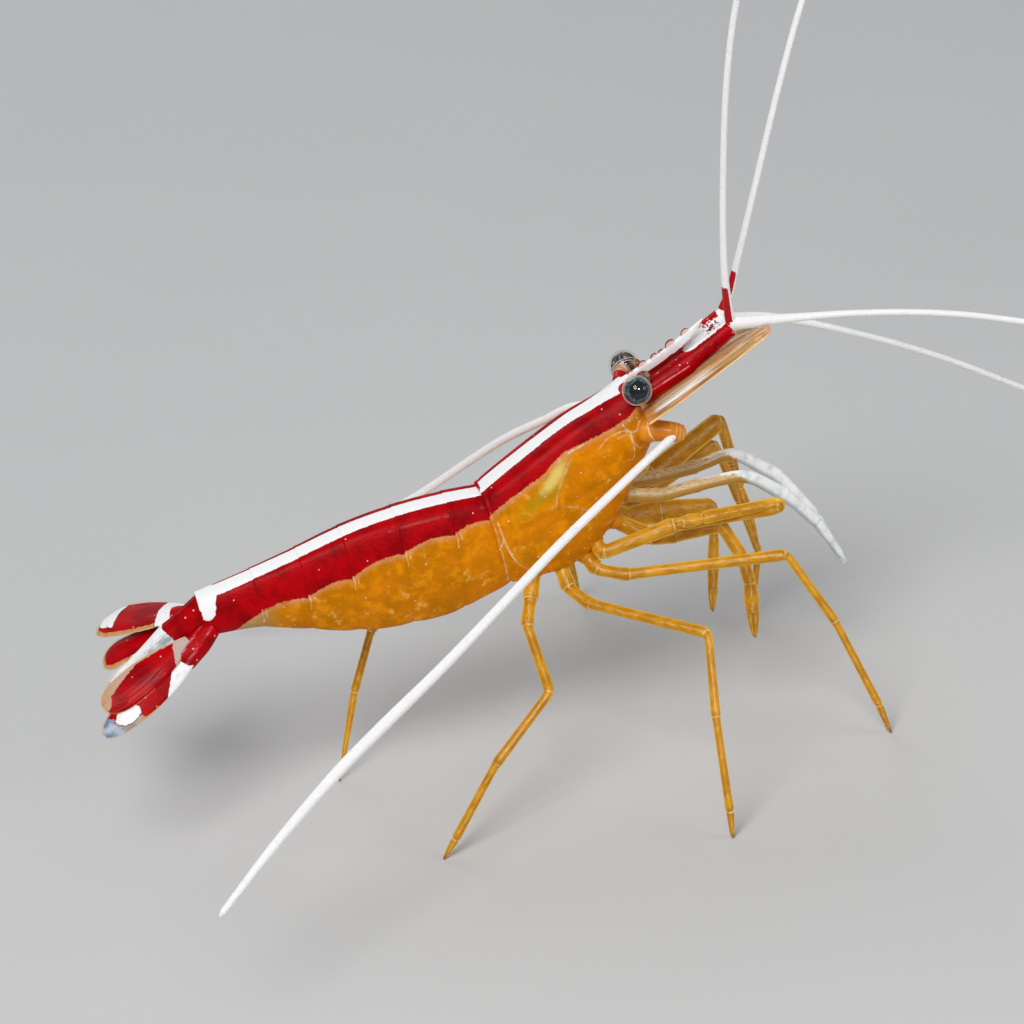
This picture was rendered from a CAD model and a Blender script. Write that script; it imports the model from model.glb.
import math

import bpy
import numpy as np
from mathutils import Matrix, Vector


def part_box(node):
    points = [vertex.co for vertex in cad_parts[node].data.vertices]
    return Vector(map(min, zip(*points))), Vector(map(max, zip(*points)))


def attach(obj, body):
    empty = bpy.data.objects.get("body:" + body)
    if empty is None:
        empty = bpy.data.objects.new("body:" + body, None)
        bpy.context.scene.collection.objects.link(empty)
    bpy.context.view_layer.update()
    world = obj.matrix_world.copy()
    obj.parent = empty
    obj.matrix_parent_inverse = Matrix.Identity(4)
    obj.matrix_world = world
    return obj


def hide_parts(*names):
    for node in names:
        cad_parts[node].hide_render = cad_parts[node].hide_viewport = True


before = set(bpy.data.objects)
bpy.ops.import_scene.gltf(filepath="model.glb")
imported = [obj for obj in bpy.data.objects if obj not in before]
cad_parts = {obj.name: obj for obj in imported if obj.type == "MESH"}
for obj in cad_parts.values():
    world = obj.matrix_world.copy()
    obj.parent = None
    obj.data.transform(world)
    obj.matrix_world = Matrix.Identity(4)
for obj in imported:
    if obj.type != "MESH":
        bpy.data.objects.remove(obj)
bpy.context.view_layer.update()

# A cleaner shrimp, life size, as a still model. Lengths below are millimetres in the animal's own
# frame: +X forward, y = 0 on the mid-plane, z = 0 on the floor. ORIGIN carries them to the CAD's.
# A direction is two angles in degrees: out from +X towards the piece's own side, then up.
MM = 0.001
RNG = np.random.default_rng(11)
RIGHT, LEFT = -1, 1
SIDES = {"right": RIGHT, "left": LEFT}
EYE = np.array([9.65, 2.65, 32.1])
VIEW = np.array([-0.15, -0.87, 0.46])  # the flank's outward and upward direction


def node_middle(name):
    low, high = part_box(name)
    return (np.array(low) + np.array(high)) / 2 / MM


EYES_AT = (node_middle("eye_right") + node_middle("eye_left")) / 2
ORIGIN = EYES_AT - EYE * [1, 0, 1]


# ---- small maths ----
def vec(*numbers):
    return np.array(numbers, float)


UP = vec(0, 0, 1)


def mirrored(point, side):
    """A point given for the left side, moved to the side asked for."""
    return point * vec(1, side, 1)


def unit(v):
    v = np.asarray(v, float)
    return v / np.maximum(np.linalg.norm(v, axis=-1, keepdims=True), 1e-9)


def direction(side, out, rise):
    o, r = math.radians(out), math.radians(rise)
    return vec(math.cos(r) * math.cos(o), side * math.cos(r) * math.sin(o), math.sin(r))


def squared(v, along):
    """The part of v at right angles to along, as a unit vector."""
    return unit(v - np.sum(v * along, axis=-1, keepdims=True) * along)


def smooth(x, low, high):
    t = np.clip((np.asarray(x, float) - low) / (high - low), 0, 1)
    return t * t * (3 - 2 * t)


def bell(x, middle, width):
    return np.exp(-(((np.asarray(x, float) - middle) / width) ** 2))


def keyed(x, keys):
    """Straight-line reading of a list of (x, value) keys."""
    return np.interp(x, *zip(*keys))


def signed_power(x, power):
    return np.sign(x) * np.abs(x) ** power


def round_end(left, reach, least):
    """1 along a piece, falling off as a quarter circle over its last reach millimetres."""
    over = ((reach - left) / (reach + 0.02)).clip(0)
    return np.sqrt(np.clip(1 - over**2, least, 1))


def extended(keys):
    keys = np.asarray(keys, float)
    return np.vstack([2 * keys[0] - keys[1], keys, 2 * keys[-1] - keys[-2]])


def spline(keys, t):
    """A Catmull-Rom curve through evenly spaced keys, read at knot numbers t."""
    t = np.clip(t, 0, len(keys) - 1 - 1e-9)
    i = t.astype(int)
    f = (t - i)[:, None]
    p = extended(keys)
    a, b, c, d = (p[i + k] for k in range(4))
    return 0.5 * (2 * b + (c - a) * f + (2 * a - 5 * b + 4 * c - d) * f**2
                  + (3 * b - a - 3 * c + d) * f**3)


def travelled(path):
    return np.concatenate([[0], np.cumsum(np.linalg.norm(np.diff(path, axis=0), axis=1))])


def read_at(path, far, where):
    return np.stack([np.interp(where, far, path[:, k]) for k in range(3)], -1)


def resampled(path, knots, step):
    """Even samples along a path, with the knot number and the distance of each."""
    far = travelled(path)
    even = np.linspace(0, far[-1], max(3, int(far[-1] / step)))
    return read_at(path, far, even), np.interp(even, far, knots), even


def curve(points, step):
    """A smooth centripetal curve through points, resampled evenly."""
    p = extended(points)
    out, knots = [], []

    def between(t, start, end, a, b):
        return (end - t) / (end - start) * a + (t - start) / (end - start) * b

    for i in range(len(p) - 3):
        rows = list(p[i:i + 4])
        at = np.cumsum([0] + [np.linalg.norm(b - a) ** 0.5 for a, b in zip(rows, rows[1:])])
        t = np.linspace(at[1], at[2], 60)[:, None]
        for gap in (1, 2):
            rows = [between(t, at[k], at[k + gap], a, b) for k, (a, b) in enumerate(zip(rows, rows[1:]))]
        kept = slice(None if i == len(p) - 4 else -1)
        out.append(between(t, at[1], at[2], *rows)[kept])
        knots.append((i + (t[:, 0] - at[1]) / (at[2] - at[1]))[kept])
    return resampled(np.vstack(out), np.concatenate(knots), step)


# ---- pieces ----
class Shape:
    """One piece being made: points in millimetres, faces, and painted values held by its points."""

    def __init__(self):
        self.points, self.faces, self.values, self.count = [], [], [], 0

    def loft(self, hoops, flat_ends=False, **values):
        """Skin closed hoops of points and cap both ends. A value is one number, or one for each
        hoop, or one for each point. The painted values are returned, for more to be added."""
        rows, cols = hoops.shape[:2]
        first = np.arange(rows - 1)[:, None] * cols
        here, beside = np.arange(cols), (np.arange(cols) + 1) % cols
        skin = np.stack([first + here, first + beside, first + beside + cols, first + here + cols], -1)
        ends = np.stack([here[::-1], here + (rows - 1) * cols])
        self.faces += [(skin.reshape(-1, 4) + self.count, True), (ends + self.count, not flat_ends)]
        self.points.append(hoops.reshape(-1, 3))
        painted = {}
        for key, value in values.items():
            value = np.asarray(value, float)
            value = value[:, None] if value.ndim == 1 else value
            painted[key] = np.broadcast_to(value, (rows, cols)).ravel()
        self.values.append(painted)
        self.count += rows * cols
        return painted

    def build(self, name, slot, material, nodes=None):
        """Make the mesh. It stands for the CAD node of its own name, unless nodes says otherwise."""
        nodes = [name] if nodes is None else nodes
        mesh = bpy.data.meshes.new(name)
        points = (np.vstack(self.points) + ORIGIN) * MM
        loops = np.concatenate([block.ravel() for block, _ in self.faces])
        sizes = np.concatenate([np.full(len(block), block.shape[1]) for block, _ in self.faces])
        rounded = np.concatenate([np.full(len(block), soft) for block, soft in self.faces])
        starts = np.concatenate([[0], np.cumsum(sizes)[:-1]])
        mesh.vertices.add(len(points))
        mesh.vertices.foreach_set("co", points.astype(np.float32).ravel())
        mesh.loops.add(len(loops))
        mesh.loops.foreach_set("vertex_index", loops.astype(np.int32))
        mesh.polygons.add(len(sizes))
        mesh.polygons.foreach_set("loop_start", starts.astype(np.int32))
        mesh.polygons.foreach_set("use_smooth", rounded)
        mesh.update(calc_edges=True)
        mesh.validate()
        for key in sorted({key for values in self.values for key in values}):
            data = [values.get(key, np.zeros(len(block))).ravel()
                    for block, values in zip(self.points, self.values)]
            attribute = mesh.attributes.new(key, "FLOAT", "POINT")
            attribute.data.foreach_set("value", np.concatenate(data).astype(np.float32))
        mesh.materials.append(material)
        piece = bpy.data.objects.new(name, mesh)
        bpy.context.scene.collection.objects.link(piece)
        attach(piece, "root")
        if nodes:
            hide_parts(*nodes)


def facings(path, reference, hold):
    """The way each sample of a path faces, turning as little as possible as it goes."""
    along = unit(np.gradient(path, axis=0))
    face = np.zeros_like(path)
    last = squared(np.asarray(reference, float), along[0])
    for i, t in enumerate(along):
        last = face[i] = squared(last + hold * np.asarray(reference), t)
    return along, face


def tube(shape, path, radii, sides=20, reference=VIEW, wide=1.0, tall=1.0, hold=0.0, **values):
    """A closed tube along a path; wide and tall scale it across its facing and rising directions."""
    along, face = facings(path, reference, hold)
    turn = np.linspace(0, 2 * math.pi, sides, endpoint=False)
    across = (radii * wide)[:, None, None] * np.cos(turn)[None, :, None] * face[:, None]
    upward = (radii * tall)[:, None, None] * np.sin(turn)[None, :, None] * np.cross(along, face)[:, None]
    values = {"along": travelled(path), "face": np.cos(turn)[None], "rise": np.sin(turn)[None], **values}
    return shape.loft(path[:, None] + across + upward, **values)


def straight(start, along, share):
    return start + along * np.asarray(share)[:, None]


def hair(shape, root, along, length, radius, **values):
    """A fine tapering bristle."""
    share = np.linspace(0, 1, 5)
    tube(shape, straight(root, along * length, share), radius * (1 - 0.85 * share), 5, **values)


# ---- materials ----
PALETTE = {
    "white": (252, 252, 253), "red": (184, 0, 10), "deep red": (140, 0, 8), "bright red": (206, 0, 14),
    "orange": (222, 130, 0), "amber": (240, 150, 4), "olive": (200, 122, 0), "pale": (246, 226, 190),
    "flesh": (214, 150, 118), "tan": (196, 150, 92), "cream": (232, 212, 118), "moss": (178, 146, 14),
    "brown": (96, 44, 14), "rust": (160, 84, 6), "apricot": (250, 176, 84), "honey": (252, 190, 92),
    "blush": (214, 158, 116), "shell dot": (250, 214, 200), "tooth": (226, 186, 182),
    "tooth tip": (116, 34, 28), "bar grey": (196, 206, 214),
    "limb low": (192, 128, 6), "limb high": (222, 158, 22), "limb grain": (236, 186, 72),
    "limb ridge": (255, 204, 62), "limb middle": (232, 206, 146), "limb collar": (250, 220, 150),
    "limb groove": (140, 86, 8), "chalk": (250, 252, 252), "chalk blue": (190, 212, 216),
    "chalk shade": (160, 184, 190), "mouth tan": (180, 138, 62), "mouth dust": (214, 194, 156),
    "mouth edge": (232, 178, 52), "feeler ring": (214, 220, 228), "feeler grey": (226, 226, 232),
    "rim rib": (226, 192, 152), "rim copper": (206, 122, 84), "comb dark": (176, 142, 138),
    "comb light": (226, 218, 214), "tip blue": (116, 138, 170), "tip grey": (188, 196, 206),
    "edge gold": (232, 178, 110), "edge blue": (214, 222, 232), "blade grey": (198, 210, 218),
    "telson grey": (168, 180, 188), "fold pink": (244, 150, 160), "blade dot": (250, 200, 190),
    "scale dark": (150, 100, 34), "scale light": (214, 160, 84), "scale copper": (216, 128, 74),
    "scale rib": (226, 186, 128), "scale root": (214, 132, 62), "scale peach": (236, 166, 104),
    "scale line": (250, 232, 190), "glare": (246, 252, 250), "scale tip": (232, 168, 146),
    "stem copper": (222, 140, 104), "stem line": (240, 160, 166), "stem dot": (250, 190, 180),
    "base dark": (214, 130, 22), "base ring": (252, 214, 150), "iris dark": (6, 24, 38),
    "iris blue": (34, 84, 104), "iris fleck": (96, 144, 156), "iris rim": (14, 54, 54),
    "pupil": (1, 4, 16), "pupil blue": (8, 22, 48), "iris ring": (110, 152, 172), "smoke": (40, 38, 38),
    "smoke light": (104, 96, 92), "smoke pink": (206, 160, 166), "cornea": (150, 140, 132),
    "stalk dark": (178, 124, 92), "stalk light": (226, 190, 160), "stalk rib": (240, 216, 190),
    "lobe dark": (92, 56, 40), "lobe light": (164, 116, 84), "stalk clear": (236, 224, 212),
    "bristle": (214, 196, 150), "bristle white": (240, 240, 232), "paddle dark": (196, 120, 26),
    "paddle light": (232, 168, 76), "paddle rib": (246, 206, 140), "floor": (203, 204, 204),
    "floor light": (208, 209, 209), "sheen": (255, 208, 90),
}
TURN = 2 * math.pi


def tint(name):
    """A palette colour, given in sRGB, as linear light."""
    return tuple((c / 255 / 12.92 if c <= 10 else ((c / 255 + 0.055) / 1.055) ** 2.4)
                 for c in PALETTE[name]) + (1.0,)


class Field:
    """One output of a material's nodes, which can be reckoned with like a number."""

    def __init__(self, finish, socket):
        self.finish, self.socket = finish, socket

    def __add__(self, other):
        return self.finish.math("ADD", self, other)

    def __sub__(self, other):
        return self.finish.math("SUBTRACT", self, other)

    def __mul__(self, other):
        return self.finish.math("MULTIPLY", self, other)

    def __abs__(self):
        return self.finish.math("ABSOLUTE", self)

    def wave(self, length):
        """A sine wave, as this field goes through each length."""
        return self.finish.math("SINE", self * (TURN / length))

    def step(self, low, high, start=0.0, end=1.0):
        """A smooth step from start to end while this field goes from low to high."""
        made = self.finish.node("MapRange", interpolation_type="SMOOTHSTEP")
        names = ("Value", "From Min", "From Max", "To Min", "To Max")
        for name, number in zip(names, (self, low, high, start, end)):
            self.finish.put(made.inputs[name], number)
        return Field(self.finish, made.outputs[0])


class Finish:
    """A procedural material. Noises and cells are sized per millimetre of the piece."""

    def __init__(self, name, roughness=0.4, coat=0.18, coat_roughness=0.12, scatter=0.0, specular=0.2):
        self.material = bpy.data.materials.new(name)
        self.material.use_nodes = True
        self.tree = self.material.node_tree
        self.tree.nodes.clear()
        self.output = self.node("OutputMaterial")
        self.shader = self.node("BsdfPrincipled")
        self.tree.links.new(self.shader.outputs[0], self.output.inputs["Surface"])
        self.settings(roughness=roughness, coat_weight=coat, coat_roughness=coat_roughness,
                      specular_ior_level=specular, ior=1.45)
        if scatter:
            self.settings(subsurface_weight=scatter, subsurface_radius=(1.0, 0.45, 0.2),
                          subsurface_scale=0.0004)
        place = self.node("TexCoord")
        scaled = self.node("VectorMath", operation="SCALE")
        scaled.inputs["Scale"].default_value = 1 / MM
        self.tree.links.new(place.outputs["Object"], scaled.inputs[0])
        self.place = Field(self, scaled.outputs[0])

    def settings(self, **numbers):
        """Set the shader's own sockets, named in lower case."""
        sockets = {socket.name.lower().replace(" ", "_"): socket for socket in self.shader.inputs}
        for name, number in numbers.items():
            sockets[name].default_value = number

    def node(self, kind, **settings):
        made = self.tree.nodes.new("ShaderNode" + kind)
        for key, value in settings.items():
            setattr(made, key, value)
        return made

    def put(self, socket, value):
        """Fill a socket with a field, a number or a palette colour."""
        if isinstance(value, Field):
            self.tree.links.new(value.socket, socket)
        else:
            socket.default_value = tint(value) if isinstance(value, str) else value

    def value(self, name):
        return Field(self, self.node("Attribute", attribute_name=name).outputs["Fac"])

    def math(self, operation, *numbers):
        made = self.node("Math", operation=operation)
        for socket, number in zip(made.inputs, numbers):
            self.put(socket, number)
        return Field(self, made.outputs[0])

    def noise(self, scale, detail=2.0, at=None, rough=0.55):
        made = self.node("TexNoise")
        self.put(made.inputs["Vector"], at or self.place)
        for name, number in (("Scale", scale), ("Detail", detail), ("Roughness", rough)):
            made.inputs[name].default_value = number
        return Field(self, made.outputs["Fac"])

    def jitter(self, spread, scale, detail=3.0, **settings):
        """Noise about zero, spread wide in all."""
        return self.math("MULTIPLY_ADD", self.noise(scale, detail, **settings), spread, -spread / 2)

    def cells(self, scale, part="Distance"):
        made = self.node("TexVoronoi")
        self.put(made.inputs["Vector"], self.place)
        made.inputs["Scale"].default_value = scale
        return Field(self, made.outputs[part])

    def specks(self, scale, size, share):
        """Small round spots on a share of the cells."""
        lone = self.node("SeparateColor")
        self.put(lone.inputs[0], self.cells(scale, "Color"))
        chosen = self.math("LESS_THAN", Field(self, lone.outputs[0]), share)
        return self.cells(scale).step(size, size * 0.55) * chosen * 0.8

    def axes(self, x, y, z=0.0):
        made = self.node("CombineXYZ")
        for socket, number in zip(made.inputs, (x, y, z)):
            self.put(socket, number)
        return Field(self, made.outputs[0])

    def blend(self, share, a, b):
        made = self.node("Mix", data_type="RGBA", clamp_factor=True)
        for socket, value in zip((made.inputs["Factor"], made.inputs[6], made.inputs[7]), (share, a, b)):
            self.put(socket, value)
        return Field(self, made.outputs[2])

    def layers(self, colour, *layers):
        """Lay each (share, colour) over what is there already."""
        for share, above in layers:
            colour = self.blend(share, colour, above)
        return colour

    def paint(self, colour, roughness=None, relief=None, depth=0.02):
        """Colour the surface; relief from 0 to 1 stands for depth millimetres of height."""
        self.put(self.shader.inputs["Base Color"], colour)
        if roughness:
            self.put(self.shader.inputs["Roughness"], roughness)
        if relief:
            bump = self.node("Bump")
            bump.inputs["Strength"].default_value = 1.0
            bump.inputs["Distance"].default_value = depth * MM
            self.put(bump.inputs["Height"], relief)
            self.put(self.shader.inputs["Normal"], Field(self, bump.outputs[0]))
        return self.material


def red_shell(m):
    """Deep glossy red with cloudy depth."""
    return m.layers("deep red", (m.noise(0.55, 3).step(0.3, 0.62), "red"),
                    (m.noise(5, 3).step(0.5, 0.75, 0, 0.5), "bright red"))


def trunk_finish():
    m = Finish("shell_banded", coat=0.03, coat_roughness=0.1, scatter=0.1, specular=0.05)
    ragged, fine = m.jitter(0.34, 2.6), m.jitter(0.16, 9, 2)
    white = m.value("white") + (ragged * 0.35 + fine)
    band = m.value("band") + (ragged + fine)
    curl = (m.value("curl") + m.jitter(0.5, 3)).step(0.26, 0.02, 0, 0.6)
    cream = m.value("cream") + m.jitter(1.0, 1.5, 4, rough=0.7)
    fringe = (band + m.jitter(1.0, 8, rough=0.7)).step(-0.55, -0.1, 0, 0.6)
    flank = m.layers(
        "olive",
        (m.noise(0.42, 2).step(0.38, 0.66), "orange"),
        (m.noise(0.9, 3).step(0.46, 0.7, 0, 0.9), "amber"),
        (m.noise(14, 2).step(0.5, 0.8, 0, 0.3), "rust"),
        (m.noise(1.7, 4, rough=0.7).step(0.58, 0.74, 0, 0.5), "apricot"),
        (m.value("tan"), "tan"),
        (curl * m.noise(1.9, 3).step(0.42, 0.6, 0.1, 1), "honey"),
        (m.value("moss") * m.noise(1.2, 3).step(0.3, 0.6, 0.3, 1), "moss"),
        (cream.step(0.05, 0.95, 0, 0.85), "cream"),
        (fringe * m.noise(1.6, 3).step(0.3, 0.55, 0.3, 1), "blush"))
    line = (m.value("crease") + m.jitter(0.2, 2.5)).step(0.1, 0.0)
    colour = m.layers(
        flank,
        (band.step(-0.045, 0.045), red_shell(m)),
        (m.specks(1.5, 0.13, 0.35), "shell dot"),
        (line * m.value("chalk") * m.noise(2, 3).step(0.3, 0.6, 0.45, 0.9), "pale"),
        (abs(white).step(0.11, 0.05) * 0.75, "deep red"),
        (white.step(-0.02, 0.04), "white"))
    relief = m.noise(3.4, 4) + line * 0.5 + white.step(-0.05, 0.1) * 0.4
    return m.paint(colour, m.noise(3, 3).step(0.3, 0.7, 0.3, 0.5), relief, 0.05)


def rostrum_finish():
    m = Finish("rostrum_white", roughness=0.35, coat=0.15, scatter=0.3)
    tooth, crest = m.value("tooth") + m.jitter(0.4, 6, 2), m.value("crest") + m.jitter(0.4, 5, 2)
    keel = m.value("keel") + m.jitter(0.3, 5)
    colour = m.layers(
        "white",
        (m.noise(4, 3).step(0.62, 0.8, 0, 0.5), "bar grey"),
        (keel.step(0.4, 0.6), red_shell(m)),
        (tooth.step(0.35, 0.55), m.blend(crest.step(0.62, 0.9), "tooth", "tooth tip")))
    return m.paint(colour, None, m.noise(6, 3))


def limb_finish(name="limb_amber", pale=False):
    m = Finish(name, roughness=0.34, coat=0.12, scatter=0.3)
    m.settings(sheen_weight=0.25, sheen_roughness=0.35, sheen_tint=tint("sheen"))
    rise, along = m.value("rise"), m.value("along")
    middle = abs(rise + m.jitter(0.4, 1.6)).step(0.3, 0.08)
    broken = m.noise(1.3, 3, at=m.axes(along, rise * 3)).step(0.42, 0.62)
    collar = m.value("gap").step(0.12, 0.02)
    colour = m.layers(
        m.blend(m.noise(0.7, 3).step(0.35, 0.68), "limb low", "limb high"),
        (m.noise(1.4, 3, at=m.axes(along, rise * 5)).step(0.5, 0.72, 0, 0.5), "limb grain"),
        (abs(rise).step(0.72, 0.97) * 0.8, "limb ridge"),
        (middle * broken * 0.6, "limb middle"),
        (collar * m.noise(1.8).step(0.4, 0.6, 0.1, 0.7), "limb collar"),
        (abs(m.value("gap") - 0.16).step(0.07, 0.01) * 0.25, "limb groove"),
        (m.value("rings") * rise.step(-0.3, 0.5, 0, 0.25), "limb collar"),
        (m.value("coxa"), m.blend(m.noise(1.2, 3), "orange", "amber")),
        (m.value("tip") * 0.7, "brown"))
    if pale:
        above = rise * -1
        chalk = m.layers("chalk", (m.noise(1.1, 3).step(0.42, 0.7, 0, 0.7), "chalk blue"),
                         (above.step(-0.2, -0.8, 0, 0.7), "chalk shade"))
        dust = m.noise(2.2, 4, at=m.axes(along, rise * 2), rough=0.7)
        glassy = m.layers("mouth tan", (dust.step(0.34, 0.56) * above.step(-0.4, 0.1), "mouth dust"),
                          (abs(rise).step(0.86, 0.98, 0, 0.8), "mouth edge"))
        cloud = m.value("pale") + m.jitter(0.5, 2) + above * 0.32
        colour = m.layers(colour, (0.9, glassy), (cloud.step(0.4, 0.6), chalk))
    return m.paint(colour, m.noise(4, 2).step(0.3, 0.7, 0.26, 0.44), m.noise(6, 3) * 0.7 + collar * 0.3)


def feeler_finish():
    m = Finish("feeler_white", coat=0.3, scatter=0.3)
    rings = m.value("along").wave(0.3)
    colour = m.layers(
        "white",
        (rings.step(0.2, 0.95, 0, 0.12), "feeler ring"),
        (m.noise(1.2, 3).step(0.58, 0.75, 0, 0.5), "feeler grey"),
        ((m.value("red") + m.jitter(0.5, 3.5)).step(0.4, 0.6), red_shell(m)),
        ((m.value("amber") + m.jitter(0.4, 3.5)).step(0.35, 0.65), "amber"))
    return m.paint(colour, None, rings * 0.5 + 0.5, 0.005)


def blade_finish():
    """Thin plates: red and white fields inside a ribbed, half clear rim."""
    m = Finish("fan_banded", roughness=0.36, coat=0.03, coat_roughness=0.08, scatter=0.12, specular=0.06)
    ragged = m.jitter(0.3, 3.2)
    red, white, blue = m.value("red") + ragged, m.value("white") + ragged, m.value("blue")
    ribs = m.math("SINE", m.value("rib") * (TURN / 0.15) + m.noise(0.8, 2) * 6)
    smudge = (ribs * 0.06 + m.noise(0.9, 3)).step(0.4, 0.62)
    clear = m.layers(
        "tan",
        (ribs.step(-0.4, 0.8, 0, 0.35), "rim rib"),
        (m.noise(1.4, 3).step(0.45, 0.7, 0, 0.6), "rim copper"),
        (m.value("comb"), m.blend(ribs.step(-0.6, 0.8), "comb dark", "comb light")),
        (blue, m.blend(smudge, "tip blue", "tip grey")),
        (m.value("edge").step(0.1, 0.03), m.blend(blue, "edge gold", "edge blue")))
    streak = m.noise(1.6, 3, at=m.axes(m.value("along") * 0.5, m.value("across") * 4))
    chalk = m.layers("white", (m.noise(2.2, 3).step(0.52, 0.72, 0, 0.4), "blade grey"),
                     (m.value("grey") * streak.step(0.4, 0.6, 0.25, 1), "telson grey"))
    colour = m.layers(
        clear,
        (red.step(-0.04, 0.04), red_shell(m)),
        (abs(white).step(0.1, 0.03), "deep red"),
        (white.step(-0.03, 0.03), chalk),
        (m.value("fold") * m.noise(1.5, 3).step(0.4, 0.6, 0.1, 0.9), "fold pink"),
        (m.specks(1.5, 0.15, 0.35), "blade dot"))
    outside = red.step(0.05, -0.05) * white.step(0.05, -0.05)
    return m.paint(colour, None, ribs * outside * 0.25 + m.noise(3, 3), 0.03)


def scale_finish():
    m = Finish("scale_glassy", roughness=0.28, coat=0.5, coat_roughness=0.06, scatter=0.25)
    grain = m.noise(1, 3, at=m.axes(m.value("along") * 0.22, m.value("across") * 7))
    ribs = m.value("rib").wave(0.2)
    colour = m.layers(
        "scale dark",
        (grain.step(0.36, 0.62), "scale light"),
        (m.noise(0.5, 3).step(0.45, 0.7, 0, 0.5), "scale copper"),
        (ribs.step(0.1, 0.9, 0, 0.6) * m.value("ribbed"), "scale rib"),
        (m.value("root"), m.blend(grain.step(0.4, 0.6), "scale root", "scale peach")),
        (m.value("line"), "scale line"),
        (m.value("glare") * grain.step(0.36, 0.46, 0.35, 1), "glare"),
        (m.value("tip"), "scale tip"))
    return m.paint(colour, None, grain + ribs * 0.12)


def peduncle_finish():
    m = Finish("peduncle_red", roughness=0.36, coat=0.04, scatter=0.15, specular=0.06)
    ragged = m.jitter(0.34, 4)
    line = (m.value("crease") + ragged * 0.2).step(0.09, 0.02)
    colour = m.layers(
        red_shell(m),
        (m.value("dark") * 0.6, "deep red"),
        (m.value("amber"), "stem copper"),
        (line * 0.75 * m.noise(1.5, 3).step(0.35, 0.55, 0.2, 1), "stem line"),
        ((m.value("white") + ragged).step(-0.04, 0.04), "white"),
        (m.value("spots") * m.noise(5, 2).step(0.54, 0.58), "deep red"),
        (m.specks(1.7, 0.16, 0.4), "stem dot"))
    return m.paint(colour, None, m.noise(6, 3) + line)


def base_finish():
    m = Finish("base_orange", roughness=0.36, coat=0.12, scatter=0.3)
    rings = m.value("rings")
    colour = m.layers(
        "base dark",
        (m.noise(0.8, 3).step(0.38, 0.66), "amber"),
        (m.noise(8, 2).step(0.55, 0.75, 0, 0.4), "flesh"),
        (rings * m.noise(1.4, 3).step(0.35, 0.6, 0.1, 0.7), "base ring"),
        ((m.value("gap") + m.jitter(0.3, 2)).step(0.1, 0.02) * 0.8, "pale"))
    return m.paint(colour, None, m.noise(7, 3) + rings)


def eye_finish():
    m = Finish("eye_ball", roughness=0.3, coat=0.0, specular=0.03)
    polar, facets = m.value("polar"), m.cells(9)
    spin = m.noise(1, 4, at=m.axes(m.value("spin_x") * 4, m.value("spin_y") * 4, polar * 5))
    uneven = polar + m.jitter(0.24, 2.4)
    ring = abs(uneven - 0.95).step(0.1, 0.02) * spin.step(0.48, 0.62, 0.05, 0.9)
    iris = m.layers("iris dark", (spin.step(0.4, 0.62), "iris blue"),
                    (facets.step(0.35, 0.6) * spin.step(0.45, 0.6), "iris fleck"),
                    (uneven.step(1.15, 1.45, 0, 0.8), "iris rim"))
    smoke = m.layers("smoke", (m.noise(1.3, 3).step(0.4, 0.66), "smoke light"),
                     (m.noise(2.2, 3).step(0.58, 0.66), "smoke pink"))
    colour = m.layers(
        m.blend(m.noise(2.4, 3).step(0.5, 0.75), "pupil", "pupil blue"),
        (uneven.step(0.74, 0.88), iris), (ring, "iris ring"), (m.value("smoke"), smoke))
    return m.paint(colour, None, facets, 0.006)


def cornea_finish():
    """Clear, with a soft bright outline where it is seen edge on."""
    m = Finish("eye_cornea", roughness=0.04, coat=1.0, coat_roughness=0.02, specular=1.0)
    m.settings(base_color=tint("cornea"), ior=2.4, coat_ior=2.4)
    facing = m.node("LayerWeight")
    facing.inputs["Blend"].default_value = 0.3
    outline = m.math("POWER", Field(m, facing.outputs["Facing"]), 2.6)
    mix = m.node("MixShader")
    clear = Field(m, m.node("BsdfTransparent").outputs[0])
    for socket, field in zip(mix.inputs, (m.math("MULTIPLY_ADD", outline, 0.85, 0.075), clear,
                                          Field(m, m.shader.outputs[0]))):
        m.put(socket, field)
    m.put(m.output.inputs["Surface"], Field(m, mix.outputs[0]))
    return m.material


def stalk_finish():
    m = Finish("eyestalk_tan", roughness=0.34, coat=0.2, scatter=0.4)
    ribs = m.value("along").wave(0.16)
    lobe = m.blend(m.noise(2, 3).step(0.4, 0.6), "lobe dark", "lobe light")
    colour = m.layers(
        "stalk dark",
        (m.noise(3, 3).step(0.4, 0.65), "stalk light"),
        (ribs.step(0.3, 1, 0, 0.3), "stalk rib"),
        (m.value("lobe"), lobe),
        (m.value("clear"), "stalk clear"),
        ((m.value("root") + m.jitter(0.5, 3)).step(0.4, 0.6), red_shell(m)))
    return m.paint(colour, None, ribs, 0.008)


def bristle_finish():
    m = Finish("bristles", coat=0.2, scatter=0.3)
    return m.paint(m.blend(m.noise(3), "bristle", "bristle white"))


def paddle_finish():
    m = Finish("paddle_amber", roughness=0.3, coat=0.6, scatter=0.35)
    ribs = m.math("SINE", m.value("rise") * 14)
    colour = m.layers("paddle dark", (m.noise(1, 3).step(0.4, 0.66), "paddle light"),
                      (ribs.step(0.2, 1, 0, 0.4), "paddle rib"))
    return m.paint(colour, None, m.noise(5, 3) + ribs * 0.3)


def floor_finish():
    m = Finish("studio_floor", roughness=0.7, coat=0.0)
    return m.paint(m.blend(m.noise(0.02), "floor", "floor light"))


# ---- trunk ----
PLATE_TURN = math.radians(138)
PLATE_LOW = math.cos(PLATE_TURN)
PLATE_RATIO = 2.6  # the plate's height over its half width, for spacing its turns
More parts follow.
